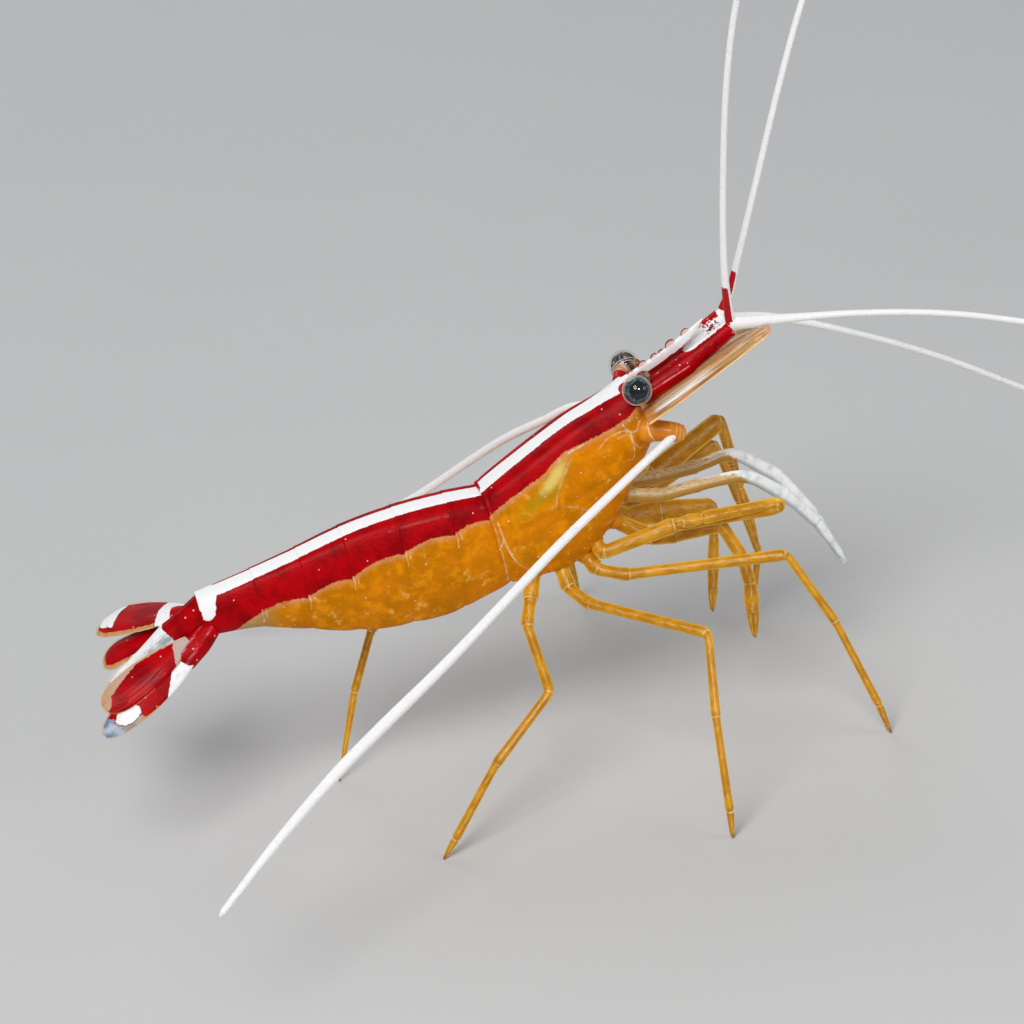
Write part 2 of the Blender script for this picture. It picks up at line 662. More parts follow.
# From the rear forward: the back's x and z, the lower edge's x and z, and the half width.
CARAPACE = [
    (-4.2, 25.4, -3.5, 17.6, 3.1), (-3.4, 25.9, -2.6, 17.3, 3.25), (-1.6, 26.9, -0.7, 17.4, 3.4),
    (1.2, 28.4, 2.0, 17.7, 3.5), (3.8, 29.7, 4.7, 19.2, 3.4), (6.0, 30.55, 7.2, 22.1, 3.15),
    (7.8, 31.45, 9.3, 25.2, 2.85), (9.2, 32.4, 10.8, 27.4, 2.4),
]
CARAPACE_ROOF = 0.9
# From the front back: length, then the rear's height at the back and at the lower edge, its half
# width, and how far the lower edge hangs in the middle.
SOMITES = [(3.0, 25.4, 16.1, 3.15, 0.3), (4.4, 25.25, 15.8, 3.1, 0.45), (4.6, 24.6, 16.2, 2.85, 0.45),
           (3.8, 23.65, 17.2, 2.45, 0.4), (4.0, 22.75, 18.3, 2.0, 0.35), (4.8, 21.8, 18.6, 1.6, 0.1)]
JOINTS = [(-4.2, 25.3, 17.2, 3.0)]
for _length, *_ring, _lobe in SOMITES:
    JOINTS.append((JOINTS[-1][0] - _length, *_ring))
HOLLOW_SHARE = 0.27
GAP = 0.08
# The lower edge of the red band, as the way round from mid-back, keyed along each part.
CARAPACE_BAND = [(0, 3.25), (1.6, 3.25), (2.85, 3.42), (3.2, 3.15), (3.6, 2.95), (4.3, 3.25), (5.25, 3.3),
                 (6.15, 3.35), (6.6, 3.2), (7, 2.95)]
ABDOMEN_BAND = [(0, 3.4), (1, 4.05), (2, 4.4), (3, 4.8), (4, 4.6), (5, 4.0), (5.25, 4.35), (5.6, 5.3), (6, 7)]
# Pale creases of the carapace's side and the glints on its back, as x and z.
CREASES = [
    [(-3.5, 23.4), (-3.25, 21.9), (-2.9, 20.5), (-2.3, 19.2), (-1.4, 18.3)], [(-3.25, 21.9), (-3.7, 21.0)],
    [(9.9, 28.7), (9.5, 29.33), (9.12, 28.6), (8.55, 28.64), (7.9, 28.86), (7.2, 28.68), (6.4, 28.35),
     (5.75, 27.8)],
    [(8.02, 29.68), (8.17, 29.05), (8.55, 28.64), (8.7, 27.75), (9.09, 27.07), (9.62, 26.77)],
    [(7.44, 28.3), (8.14, 28.51), (8.45, 28.3), (8.57, 27.79), (8.68, 26.9), (8.49, 26.2), (8.02, 26.3)],
    [(1.55, 23.7), (2.5, 23.55), (3.4, 23.2), (4.1, 22.7)],
    [(3.4, 27.5), (2.5, 26.2), (1.7, 24.8), (1.5, 24.0)],
]
GLINTS = [[(2.2, 27.3), (3.4, 27.95), (4.6, 28.4)], [(2.4, 27.6), (3.7, 28.15)]]
# The hollow of the underside, from the left edge across to the right: across, then up.
HOLLOW = [(0.52, 0.02), (0.5, 0.5), (0.44, 0.95), (0.2, 1.1), (0, 1.12), (-0.2, 1.1), (-0.44, 0.95),
          (-0.5, 0.5), (-0.52, 0.02)]
FAR_OFF = 3.0  # paints measured as a distance hold this where there is no line near
BELLY_PAINT = {"white": -FAR_OFF, "band": -FAR_OFF, "crease": FAR_OFF, "curl": FAR_OFF}


def flow(keys, x):
    """A smooth curve through keys held as (x, ...) rows, read at x."""
    keys = np.asarray(keys, float)
    keys = keys[np.argsort(keys[:, 0])]
    at, rest = keys[:, 0], keys[:, 1:]
    slope = np.gradient(rest, at, axis=0)
    i = np.clip(np.searchsorted(at, x) - 1, 0, len(at) - 2)
    reach = (at[i + 1] - at[i])[:, None]
    t = (x - at[i])[:, None] / reach
    return ((1 + 2 * t) * (1 - t) ** 2 * rest[i] + t * (1 - t) ** 2 * reach * slope[i]
            + t * t * (3 - 2 * t) * rest[i + 1] + t * t * (t - 1) * reach * slope[i + 1])


def plate_up(turns):
    return (np.cos(turns) - PLATE_LOW) / (1 - PLATE_LOW)


def plate_across(turns, peak=0.0):
    """Half widths round the plate: a broad flat back and full sides; peak sharpens the back."""
    top = 1 - smooth(np.abs(turns), math.radians(12), math.radians(70))
    return signed_power(np.sin(turns), 0.85 - (0.3 - 0.45 * peak) * top)


def plate_turns(count):
    """Turns spaced evenly along the plate's arc."""
    fine = np.linspace(-PLATE_TURN, PLATE_TURN, 4001)
    far = travelled(np.stack([plate_across(fine), PLATE_RATIO * plate_up(fine)], 1))
    turns = np.interp(np.linspace(0, far[-1], count), far, fine)
    return (turns - turns[::-1]) / 2


def trunk_points(back, edge, half, roof, turns, peak=0.0):
    """Rows of closed rings: the outer plate by turns, then the belly hollow."""
    rows = (len(back), 1)
    hollow = spline(HOLLOW, np.linspace(0, len(HOLLOW) - 1, 36))
    roof, peak = (np.broadcast_to(value, len(back))[:, None] for value in (roof, peak))
    shares = np.concatenate([np.tile(plate_up(turns), rows), hollow[:, 1] * roof], 1)
    across = np.concatenate([plate_across(turns, peak), np.tile(hollow[:, 0], rows)], 1) * half[:, None]
    points = edge[:, None] + (back - edge)[:, None] * shares[..., None]
    return np.stack([points[..., 0], across, points[..., 1]], -1)


def arc_of(points, cols):
    """The way round the outer plate from mid-back, rising towards the left."""
    steps = np.linalg.norm(np.diff(points[:, :cols], axis=1), axis=2)
    arc = np.pad(np.cumsum(steps, axis=1), [(0, 0), (1, 0)])
    return arc - arc[:, cols // 2][:, None]


def line_distance(x, z, lines):
    """How far each point is from the nearest of some smooth curves."""
    best = np.full(x.shape, 9.0)
    for line in lines:
        if len(line) > 2:
            line = spline(line, np.linspace(0, len(line) - 1, 4 * len(line)))
        for (ax, az), (bx, bz) in zip(line, line[1:]):
            dx, dz = bx - ax, bz - az
            t = np.clip(((x - ax) * dx + (z - az) * dz) / (dx * dx + dz * dz), 0, 1)
            best = np.minimum(best, np.hypot(x - ax - t * dx, z - az - t * dz))
    return best


def curls(count, x_range, z_range):
    """Short curled pale marks scattered over a flank."""
    made = []
    for _ in range(count):
        x, z = RNG.uniform(*x_range), RNG.uniform(*z_range)
        radius, start, sweep = RNG.uniform(0.2, 0.5), RNG.uniform(0, 6.3), RNG.uniform(1.2, 3.6)
        turns = start + np.linspace(0, sweep, 5)
        made.append([(x + radius * math.cos(t), z + radius * 0.7 * math.sin(t)) for t in turns])
    return made


def trunk_piece(name, slot, points, lift, finish, **paints):
    """Raise the outer plate by lift along its normal, paint it and build it."""
    cols = lift.shape[1]
    outer = points[:, :cols]
    normal = unit(np.cross(np.gradient(outer, axis=1), np.gradient(outer, axis=0)))
    away = np.sum(normal * (outer - outer.mean(axis=1, keepdims=True)), axis=-1, keepdims=True)
    points[:, :cols] = outer + normal * np.sign(away) * lift[..., None]
    belly = [(0, 0), (0, points.shape[1] - cols)]
    shape = Shape()
    paints = {key: np.pad(paint, belly, constant_values=BELLY_PAINT.get(key, 0.0))
              for key, paint in paints.items()}
    shape.loft(points, flat_ends=True, **paints)
    shape.build(name, slot, finish)


def make_carapace(finish):
    rows, cols = 190, 241
    t = np.linspace(0, 7, rows)
    key = spline(CARAPACE, t)
    back, edge, half = key[:, 0:2], key[:, 2:4], key[:, 4]
    roof = CARAPACE_ROOF / (back[:, 1] - edge[:, 1])
    points = trunk_points(back, edge, half, roof, plate_turns(cols), smooth(t, 4.6, 6.5))
    middle = points.mean(axis=1, keepdims=True)
    points = middle + (points - middle) * (1 - 0.14 * smooth(t, 6.65, 7.0) ** 2)[:, None, None]
    arc = arc_of(points, cols)
    way = np.abs(arc)
    x, z = points[:, :cols, 0], points[:, :cols, 2]
    far, t = travelled(back)[:, None], t[:, None]
    white = 0.93 - 0.13 * bell(t, 3.6, 1.3) + 0.32 * smooth(t, 5.5, 6.6) - np.abs(arc + 0.07)
    white = np.minimum(white, far * 1.2 - 0.25 + 0.5 * smooth(-arc, 0.2, 1.0))
    band = keyed(t, CARAPACE_BAND) - way
    crease = np.where(band > -0.1, FAR_OFF, line_distance(x, z, CREASES))
    curl = line_distance(x, z, curls(15, (-2.5, 8.0), (19.0, 28.0)))
    glint = line_distance(x, z, GLINTS)
    rim = np.where(way > 3.0, np.abs(far - 0.22) + 0.03, FAR_OFF)
    crease = np.minimum(np.minimum(crease, rim), glint + 0.02)
    chalk = 0.45 + 0.4 * smooth(x, -1.5, -2.6) + 0.25 * smooth(x, 5.5, 8)
    chalk = np.maximum(chalk, 0.9 * (glint < 0.3))
    u = (x - 1.9) * 0.93 + (way - 4.1) * -0.36
    v = (x - 1.9) * 0.36 + (way - 4.1) * 0.93
    cream = 0.95 * bell(u, 0, 1.3) * bell(v, 0, 0.6) + 0.35 * bell(x, 1.2, 1.0) * bell(way, 4.6, 0.5)
    moss = 0.85 * bell(x, -0.1, 1.7) * bell(way, 5.0, 0.8) + 0.5 * bell(x, 1.6, 1.0) * bell(way, 5.0, 0.6)
    lift = 0.04 * bell(far, 0.12, 0.12) - 0.03 * bell(far, 0.42, 0.14)
    lift = lift + 0.035 * bell(crease, 0, 0.07) * (band < 0) + 0.03 * smooth(white, -0.04, 0.05)
    lift = lift - 0.08 * bell(z - 0.35 * x, 22.9, 0.35) * smooth(x, -3, -1) * smooth(x, 7, 4)
    trunk_piece("carapace", "carapace_shell", points, lift, finish, white=white, band=band, crease=crease,
                cream=cream, moss=np.clip(moss, 0, 0.8), curl=curl, chalk=chalk)


def make_somite(i, finish):
    rows, cols = 64, 221
    first, last = i == 0, i == len(SOMITES) - 1
    s = np.linspace(-0.06 if first else -0.09, 1.0, rows)
    front, rear = np.array(JOINTS[i]), np.array(JOINTS[i + 1])
    length, lobe = SOMITES[i][0], SOMITES[i][4]
    c = np.clip(s, 0, 1)
    high, low, half = flow(JOINTS, front[0] * (1 - c) + rear[0] * c).T
    flare = 0.01 * (s - 0.5)
    x = front[0] * (1 - s) + rear[0] * s + GAP / 2
    tuck = 0.95 * smooth(s, 0.75, -0.05) * first
    back = np.stack([x, high + flare * 3], 1)
    edge = np.stack([x + tuck, low + 0.35 * lobe * ((2 * c - 1) ** 4 - 0.3)], 1)
    points = trunk_points(back, edge, half * (1 + flare), HOLLOW_SHARE, plate_turns(cols))
    arc = arc_of(points, cols)
    way = np.abs(arc)
    s = s[:, None]
    t, ahead = i + s, (1 - s) * length
    scallop = 0.34 * np.sin(math.pi * np.clip(s, 0, 1)) ** 0.8 * (not last)
    band = keyed(t, ABDOMEN_BAND) - scallop - way
    white = 0.84 - np.abs(arc + 0.25)
    if first:
        white = np.minimum(white, s * length * 1.5 - 0.1 + 0.4 * smooth(-arc, -0.4, 0.6))
    if last:  # the stripe ends in a saddle across the rear edge
        saddle = np.minimum(1.5 - ahead + 0.12 * np.sin(way * 3 - 1), 2.8 - way - (ahead - 0.7) ** 2)
        saddle = np.minimum(saddle, 1.3 - ahead - (way - 2.0) * 0.2 + 0.9 * smooth(way, 2.3, 0.9))
        white = np.maximum(0.84 - np.abs(arc + 0.25 * smooth(t, 5.9, 5.6)), saddle)
        white = np.minimum(white, ahead - 0.12 + 0.9 * smooth(way, 1.9, 0.9))
    crease = np.full(way.shape, FAR_OFF)
    for at, top, bottom in [(0.16, 0.1, -1.2), (0.5, -0.25, -0.8)]:
        over = np.maximum(0, np.maximum(band - top, bottom - band))
        crease = np.minimum(crease, np.hypot(ahead - at - 0.04 * np.sin(way * 6 + i), over) + 0.02)
    curl = line_distance(points[:, :cols, 0], points[:, :cols, 2],
                         curls(5, (rear[0], front[0]), (rear[2] + 0.3, rear[2] + 3.6)))
    lift = 0.015 * bell(ahead, 0.12, 0.12) - 0.03 * smooth(ahead, 0.06, -0.02)
    lift = lift - 0.13 * smooth(s, 0.0, -0.05) - 0.012 * bell(s * length, 0.55, 0.2)
    lift = lift + 0.03 * smooth(white, -0.04, 0.05) * (s > 0) + 0.02 * bell(crease, 0, 0.07) * (band < 0)
    lift = lift - 0.05 * bell(s, 0.55, 0.3) * bell(band, -1.6, 0.9)
    trunk_piece(f"somite_{i + 1}", "shell_red", points, lift, finish, white=white, band=band, crease=crease,
                moss=0.2 * bell(t, 4.9, 0.35) * smooth(band, 0.2, -0.4), curl=curl,
                tan=smooth(t, 4.55, 5.1) * (band < 0.5),
                chalk=np.where((band > -1.5) & (ahead < 0.8), 0.95, 0.4))


# ---- rostrum ----
ROSTRUM_ROOT = (8.4, 31.98)
ROSTRUM_PITCH = math.radians(25.9)
ROSTRUM_LENGTH = 8.9
ROSTRUM_THICKNESS = 0.54
ROSTRUM_BODY = -0.12  # height of its widest level
ROSTRUM_SAG = 0.24
# Distance, height and width of each tooth above; share of the length of each tooth below.
UPPER_TEETH = [(1.5, .18, .6), (2.7, .36, .85), (3.85, .28, .7), (4.55, .18, .5), (5.5, .44, 1.0),
               (7.05, .36, .85)]
LOWER_TEETH = (0.70, 0.80, 0.90)


def make_rostrum(finish):
    """A keel with a full middle, a sharp saw edge above and a few small teeth below."""
    s = np.linspace(0, 1, 260)[:, None]
    far = s * ROSTRUM_LENGTH
    top = np.zeros_like(s)
    for at, high, wide in UPPER_TEETH:
        t = np.clip((far - at) / wide + 0.5, 0, 1) ** 1.25
        top = np.maximum(top, high * np.maximum(0, 1 - np.abs(2 * t - 1) ** 2.2) ** 0.6)
    low = -keyed(s, [(0, 1.15), (0.5, 1.3), (0.74, 0.85), (0.94, 0.36), (1, 0.06)])
    for at in LOWER_TEETH:
        past = (far - at * ROSTRUM_LENGTH) / 0.3
        low -= 0.16 * np.clip(1 + past, 0, 1) * (past < 0) * (past > -1)
    turn = np.linspace(0, TURN, 28, endpoint=False)[::-1]
    up = np.sin(turn)
    height = ROSTRUM_BODY + np.where(up > 0, (top - ROSTRUM_BODY) * np.abs(up) ** 1.2,
                                     (low - ROSTRUM_BODY) * np.abs(up) ** 1.1)
    thick = ROSTRUM_THICKNESS / 2 * keyed(s, [(0, 1), (0.1, 1), (0.75, 0.85), (1, 0.3)])
    sharp = 1 - 0.55 * smooth(height, -0.05, 0.35) - 0.2 * smooth(-height, 0.8, 1.2)
    level = height - ROSTRUM_SAG * np.sin(math.pi * s)
    x = ROSTRUM_ROOT[0] + far * math.cos(ROSTRUM_PITCH) - level * math.sin(ROSTRUM_PITCH)
    z = ROSTRUM_ROOT[1] + far * math.sin(ROSTRUM_PITCH) + level * math.cos(ROSTRUM_PITCH)
    shape = Shape()
    shape.loft(np.stack([x, thick * signed_power(np.cos(turn), 0.55) * sharp, z], -1), flat_ends=True,
               tooth=smooth(height, 0.0, 0.1) * (top > 0.02), keel=smooth(height, -0.66, -0.78),
               crest=height / np.maximum(top, 0.05))
    shape.build("rostrum", "white_shell", finish)


# ---- eyes ----
EYES = {
    "right": dict(shift=vec(0, 0, 0), size=1.0, smoke=(0.3, 0.7), stalk_end=0.86, red_to=(0.75, 0.55),
                  lobe=vec(0.86, 1.0, 0.5), lobe_size=0.6),
    "left": dict(shift=vec(0.3, 0, -0.1), size=1.04, smoke=(-0.5, -0.1), stalk_end=0.62, red_to=(0.4, 0.2),
                 lobe=vec(0.75, -1.2, 0.5), lobe_size=0.4),
}
BALL_RADIUS, CORNEA_RADIUS = 1.04, 1.24


def around(axis, turn):
    """Directions square to an axis, turned about it."""
    one = squared(UP, axis)
    return np.cos(turn)[:, None] * one + np.sin(turn)[:, None] * np.cross(axis, one)


def ball(shape, centre, radius, axis):
    """A ball built round its own axis, with the angle from that axis painted on it."""
    polar = np.linspace(0.02, math.pi - 0.02, 64)
    spin = np.linspace(0, TURN, 72, endpoint=False)
    out = np.sin(polar)[:, None, None] * around(axis, spin) + np.cos(polar)[:, None, None] * axis
    spins = dict(spin_x=np.cos(spin)[None], spin_y=np.sin(spin)[None])
    return shape.loft(centre + radius * out, polar=polar, **spins)


def make_eye(side_name, ball_finish, clear_finish, stalk):
    side, eye = SIDES[side_name], EYES[side_name]
    centre = mirrored(EYE, side) + eye["shift"]
    axis = unit(vec(-0.06, side * 0.88, 0.46))
    name = f"eye_{side_name}"
    inner, outer, cup = Shape(), Shape(), Shape()
    painted = ball(inner, centre + axis * 0.04, BALL_RADIUS * eye["size"], axis)
    painted["smoke"] = smooth(unit(inner.points[0] - centre) @ vec(0, -side, 0), *eye["smoke"])
    inner.build(name + ".ball", "eye", ball_finish, [name])
    ball(outer, centre, CORNEA_RADIUS * eye["size"], axis)
    outer.build(name + ".cornea", "eye", clear_finish, [name])
    root = vec(9.0, side * 0.9, 31.6)
    reach = np.linalg.norm(centre - root)
    share = np.linspace(-0.1, eye["stalk_end"], 44)
    radii = keyed(share * reach, [(-0.3, 0.5), (0, 0.58), (0.5, 0.6), (1.1, 0.78), (1.7, 0.98), (reach, 0.9)])
    radii = radii * np.where(share > share[-1] - 0.06, 0.93, 1)
    path = straight(root, centre - root, share) + UP * 0.05 * np.sin(share * math.pi)[:, None]
    tube(cup, path, radii * (1 + 0.01 * np.sin(share * 70)), 40, root=smooth(share, *eye["red_to"]))
    for wide, along in ((1.2, -0.22), (1.13, -0.42)):
        hoop = centre + axis * along + around(axis, np.linspace(0, TURN, 90)) * wide
        tube(cup, hoop, np.full(90, 0.03), 8, reference=axis, clear=1.0)
    lift = np.linspace(-1, 1, 30)
    tube(cup, straight(centre + eye["lobe"], unit(vec(1, 0, 0.5)), eye["lobe_size"] * lift),
         eye["lobe_size"] * np.sqrt(np.maximum(0.01, 1 - lift**2)), 36, wide=0.45, lobe=1.0)
    cup.build(f"eyestalk_{side_name}", "eyestalk", stalk)


# ---- limbs ----
# A limb is a chain of segments, each with its length, out, rise and radius, from a root given for
# the left side. A walking leg ends in a toe (out, rise) that reaches the floor; a clawed leg ends in
# a claw (length, out, rise, radius, share of it that is palm).
LEGS = {
    "leg_3": (vec(3.4, 1.4, 18.2), {
        "right": ([(2.1, 64, -38, .62), (2.5, 24, -13, .5), (13.4, 19, 3, .47), (7.2, 25, -62.5, .36),
                   (8.5, 36, -69, .33)], (32, -74)),
        "left": ([(1.9, 45, -24, .62), (2.5, 35, -7, .5), (13.0, 25, 10, .47), (6.6, 26, -74, .36),
                  (5.8, 24, -76, .33)], (170, -79))}),
    "leg_4": (vec(1.3, 1.4, 18.0), {
        "right": ([(2.7, 84, -49, .62), (2.5, 64, -14, .5), (12.6, 54, 2, .45), (6.7, 107, -57, .36),
                   (8.1, 100, -75, .33)], (109, -80)),
        "left": ([(2.4, 74, -12, .62), (2.8, 70, 16, .5), (8.3, 79, 4, .45), (10.7, 74, -60, .36),
                  (8.2, 74, -66, .33)], (60, -76))}),
    "leg_5": (vec(-0.8, 1.4, 17.9), {
        "right": ([(3.0, 120, -42, .62), (2.4, 116, -28, .5), (6.3, 88, -38, .42), (7.4, 158, -33, .39),
                   (7.1, 166, -49, .34)], (171, -49)),
        "left": ([(2.6, 130, -14, .62), (2.5, 165, -8, .5), (6.4, 173, -9, .42), (4.9, 185, -47, .39),
                  (5.6, 200, -62, .34)], (207, -67))}),
}
CLAWED = {
    "leg_1": (vec(6.1, 1.2, 20.5), {
        "right": ([(4.2, 12, -36, .6), (1.8, 13, 0, .52), (4.1, 25, 12, .52), (3.3, 21, -66, .46),
                   (2.7, 2, -81, .44)], (5.3, 150, -87, .6, .5)),
        "left": ([(3.1, 28, -45, .6), (3.2, 13, -10, .56), (5.3, 13, -13, .56), (2.7, 178, -86, .46)],
                 (7.6, 178, -82, .48, .7))}),
    "leg_2": (vec(4.4, 1.5, 19.3), {
        "right": ([(1.8, 78, -30, .55), (6.3, 10, 14, .5), (9.1, 5, -2.0, .46), (.62, 110, 82, .42),
                   (6.8, 178, 3, .4)], (2.3, 180, 2, .52, .72)),
        "left": ([(3.0, 36, 12, .55), (4.9, 15, 7, .5), (7.5, 15, 20, .58), (4.4, -7, -82, .4),
                  (2.4, -7, -82, .38)], (5.4, -7, -81, .4, .5))}),
}
RINGED = {"leg_2_left": (3, 4)}
# How much wider than thick a segment is, at its start and end.
BROAD = {
    "leg_2_left": {0: (1.2, 1.4), 1: (1.4, 1.75), 2: (1.75, 1.3), 3: (1.2, 1.15)},
    "leg_1_left": {0: (1.2, 1.4), 1: (1.5, 1.8), 2: (1.8, 0.9)},
    "leg_1_right": {0: (1.1, 1.2), 1: (1.2, 1.2), 2: (1.2, 1.1), 3: (1.2, 1.15), 4: (1.15, 1.2)},
    "leg_2_right": {0: (1.1, 1.1), 1: (1.15, 1.25), 2: (1.2, 1.1), 4: (1.15, 1.3)},
    "leg_3_left": {2: (1.3, 1.2)},
}
MOUTH_ROOT = vec(7.6, 1.1, 22.3)
MOUTH_LEGS = {
    "right": ([(3.0, 24, -7, .5), (3.5, 7, 7, .44), (4.0, 0, -1, .42), (4.7, -10, -43, .4),
               (4.5, -17, -54, .37)], (5.2, -13, -64, .26)),
    "left": ([(4.1, 17, -14, .5), (3.7, 6, -2, .44), (3.1, 0, 12, .42), (4.9, -9, -40, .4),
              (4.8, -17, -58, .37)], (5.3, -14, -68, .26)),
}
MOUTH_BROAD = {0: (1.2, 1.2), 1: (1.25, 1.25), 2: (1.2, 1.25), 3: (1.35, 1.5), 4: (1.5, 1.3)}
MOUTH_PALE = [0.0, 0.0, 0.3, 1.1, 1.1]
PALP_ROOT = vec(6.9, 0.8, 24.3)
PALP = [(2.0, 8, -16, .36), (0.9, -8, 20, .3)]
PALP_TIP = (0.7, -30, 50)


def joints_of(start, side, chain):
    """The points passed by a chain of rows that begin with length, out and rise."""
    joints = [start]
    for length, out, rise, *_ in chain:
        joints.append(joints[-1] + direction(side, out, rise) * length)
    return joints


def joint_path(joints, corner):
    """A path through a limb's joints with each corner rounded, and the knot number along it."""
    rows, knots = [joints[0][None]], [[0.0]]
    t = np.linspace(0, 1, 11)[:, None]
    for i in range(1, len(joints) - 1):
        before, after = joints[i - 1] - joints[i], joints[i + 1] - joints[i]
        back, front = (min(corner / np.linalg.norm(v), 0.45) for v in (before, after))
        rows.append((1 - t) ** 2 * (joints[i] + before * back) + 2 * t * (1 - t) * joints[i]
                    + t**2 * (joints[i] + after * front))
        knots.append(i - back + t[:, 0] * (back + front))
    return resampled(np.concatenate(rows + [joints[-1][None]]),
                     np.concatenate(knots + [[len(joints) - 1.0]]), 0.085)


def soften(row, far, reach):
    """A running mean along a limb."""
    count = max(1, int(reach / far[1]))
    padded = np.pad(row, count, mode="edge")
    return np.convolve(padded, np.ones(2 * count + 1) / (2 * count + 1), mode="valid")


def walk(shape, side, root, chain, swell=0.1, ringed=(), broad=None, corner=0.55, **values):
    """A limb from its root through each joint in one smooth skin, slightly waisted at the joints.
    The end of its last segment is returned."""
    joints = joints_of(mirrored(root, side), side, chain)
    lengths, _, _, thick = np.array(chain).T
    a = np.linspace(-0.5, 1.5, 22)
    foot = (thick[0] + 0.22 * bell(a, 0.3, 0.6)) * np.maximum(0.03, 1 - ((a - 0.5) / 1.02) ** 2) ** 0.3
    tube(shape, straight(joints[0], direction(side, *chain[0][1:3]), a), foot, 26, gap=2.0,
         coxa=smooth(a, 1.4, 0.7))
    path, knots, far = joint_path(joints, corner)
    i = np.minimum(knots.astype(int), len(chain) - 1)
    share = knots - i
    radii = thick[i] * (0.97 + swell * share) * (1 - 0.04 * np.sin(math.pi * share))
    start, end = np.array([(broad or {}).get(k, (1, 1)) for k in range(len(chain))], float)[i].T
    tall = soften(start * (1 - share) + end * share, far, 0.5)
    before, since = (1 - share) * lengths[i], share * lengths[i]
    inner = (knots > 0.3) & (knots < len(chain) - 0.3)
    gap = np.where(inner, np.minimum(before, since), 2.0)
    body = soften(radii, far, 0.35) * (1 + 0.06 * bell(before, 0.3, 0.2) * inner - 0.05 * bell(gap, 0, 0.09))
    rings = np.zeros_like(far)
    for k in ringed:
        rings += (0.5 + 0.5 * np.cos(TURN * share * int(lengths[k] / 0.34))) ** 3 * (i == k)
    body = body * round_end(far[-1] - far, 0.35, 0.05) * (1 + 0.01 * rings)
    held = {key: soften(np.asarray(value, float)[i], far, 1.3) for key, value in values.items()}
    tube(shape, path, body, 24, wide=0.96, tall=1.03 * tall, hold=0.12, gap=gap, rings=rings, **held)
    return joints[-1]


def make_walking_leg(name, side_name, finish):
    side, (root, both) = SIDES[side_name], LEGS[name]
    chain, toe = both[side_name]
    name = f"{name}_{side_name}"
    shape = Shape()
    end = walk(shape, side, root, chain, broad=BROAD.get(name))
    along = direction(side, *toe)
    reach = end[2] / -along[2]
    share = np.linspace(-0.06, 1, 40)
    radii = keyed(share, [(-0.06, 0.16), (0, 0.3), (0.12, 0.33), (0.6, 0.24), (0.93, 0.11), (1, 0.05)])
    tube(shape, straight(end, along * (reach - 0.06), share), radii, 18, gap=np.abs(share) * reach,
         tip=smooth(share, 0.72, 0.95))
    out = squared(vec(-0.5, side * 0.3, -0.3), along)
    for spine in range(5):
        at = end + along * reach * (0.25 + 0.13 * spine)
        hair(shape, at + out * 0.16, unit(out + along * 1.4), 0.32, 0.05, gap=2.0, tip=0.7)
    shape.build(name, "limb", finish)


def claw_finger(shape, root, along, aside, length, radius):
    share = np.linspace(0, 1, 26)
    bow = 0.95 + 0.12 * np.sin(share * math.pi) - 0.75 * share**2
    path = straight(root, along, length * share - 0.3) + aside * bow[:, None]
    radii = keyed(share, [(0, radius), (0.25, radius * 0.95), (0.7, radius * 0.62), (0.94, 0.12), (1, 0.04)])
    tube(shape, path, radii, 16, gap=2.0, tip=0.8 * smooth(share, 0.82, 1.0))


def make_clawed_leg(name, side_name, finish):
    side, (root, both) = SIDES[side_name], CLAWED[name]
    chain, (length, out, rise, radius, palm_share) = both[side_name]
    name = f"{name}_{side_name}"
    shape = Shape()
    end = walk(shape, side, root, chain, ringed=RINGED.get(name, ()), broad=BROAD.get(name))
    along = direction(side, out, rise)
    palm = length * palm_share
    share = np.linspace(-0.12, 1.08, 36)
    radii = keyed(share, [(-0.12, 0.35), (0, 0.74), (0.15, 0.9), (0.6, 1.06), (1, 0.86), (1.08, 0.5)])
    tube(shape, straight(end, along * palm, share), radius * radii, 24, wide=0.92, tall=1.04,
         gap=np.minimum(np.abs(share), np.abs(1 - share)) * palm)
    across = squared(vec(1, 0, 0.2), along)
    tip, aside, left = end + along * palm, across * radius * 0.38, length - palm
    claw_finger(shape, tip, along, aside, left + 0.3, radius * 0.58)
    claw_finger(shape, tip, along, -aside, left * 0.94 + 0.3, radius * 0.54)
    for _ in range(14):
        at = tip + along * RNG.uniform(0.2, left) + across * RNG.uniform(-0.3, 0.3)
        hair(shape, at, unit(along + RNG.normal(0, 0.5, 3)), 0.35, 0.018, gap=2.0, rise=0.0)
    shape.build(name, "limb", finish)


def make_mouth_leg(side_name, finish, bristles):
    side = SIDES[side_name]
    chain, last = MOUTH_LEGS[side_name]
    shape, brush = Shape(), Shape()
    end = walk(shape, side, MOUTH_ROOT, chain, 0.05, broad=MOUTH_BROAD, corner=1.5, pale=MOUTH_PALE)
    share = np.linspace(-0.05, 1, 40)
    radii = keyed(share, [(-0.05, 0.12), (0, 0.33), (0.12, 0.36), (0.75, 0.27), (1, 0.05)])
    tube(shape, straight(end, direction(side, *last[1:3]) * last[0], share), radii, 18, pale=1.1,
         tall=keyed(share, [(0, 1.35), (1, 1.1)]), gap=np.abs(share) * last[0] + 0.3)
    shape.build(f"maxilliped_3_{side_name}", "mouth_limb", finish)
    joints = joints_of(mirrored(MOUTH_ROOT, side), side, chain)
    for at, (length, out, rise, thick) in list(zip(joints, [*chain, last]))[2:]:
        along = direction(side, out, rise)
        under = squared(vec(-0.6, 0, -1), along)
        aside = np.cross(along, under)
        for _ in range(int(length * 9)):
            where = at + along * RNG.uniform(0.1, length)
            lean = unit(under + aside * RNG.normal(0, 0.7) + along * RNG.uniform(0.3, 1.4))
            hair(brush, where + squared(lean, along) * thick * 0.8, lean, RNG.uniform(0.16, 0.36), 0.018)
    brush.build(f"bristles_{side_name}", "mouth_limb", bristles, [])


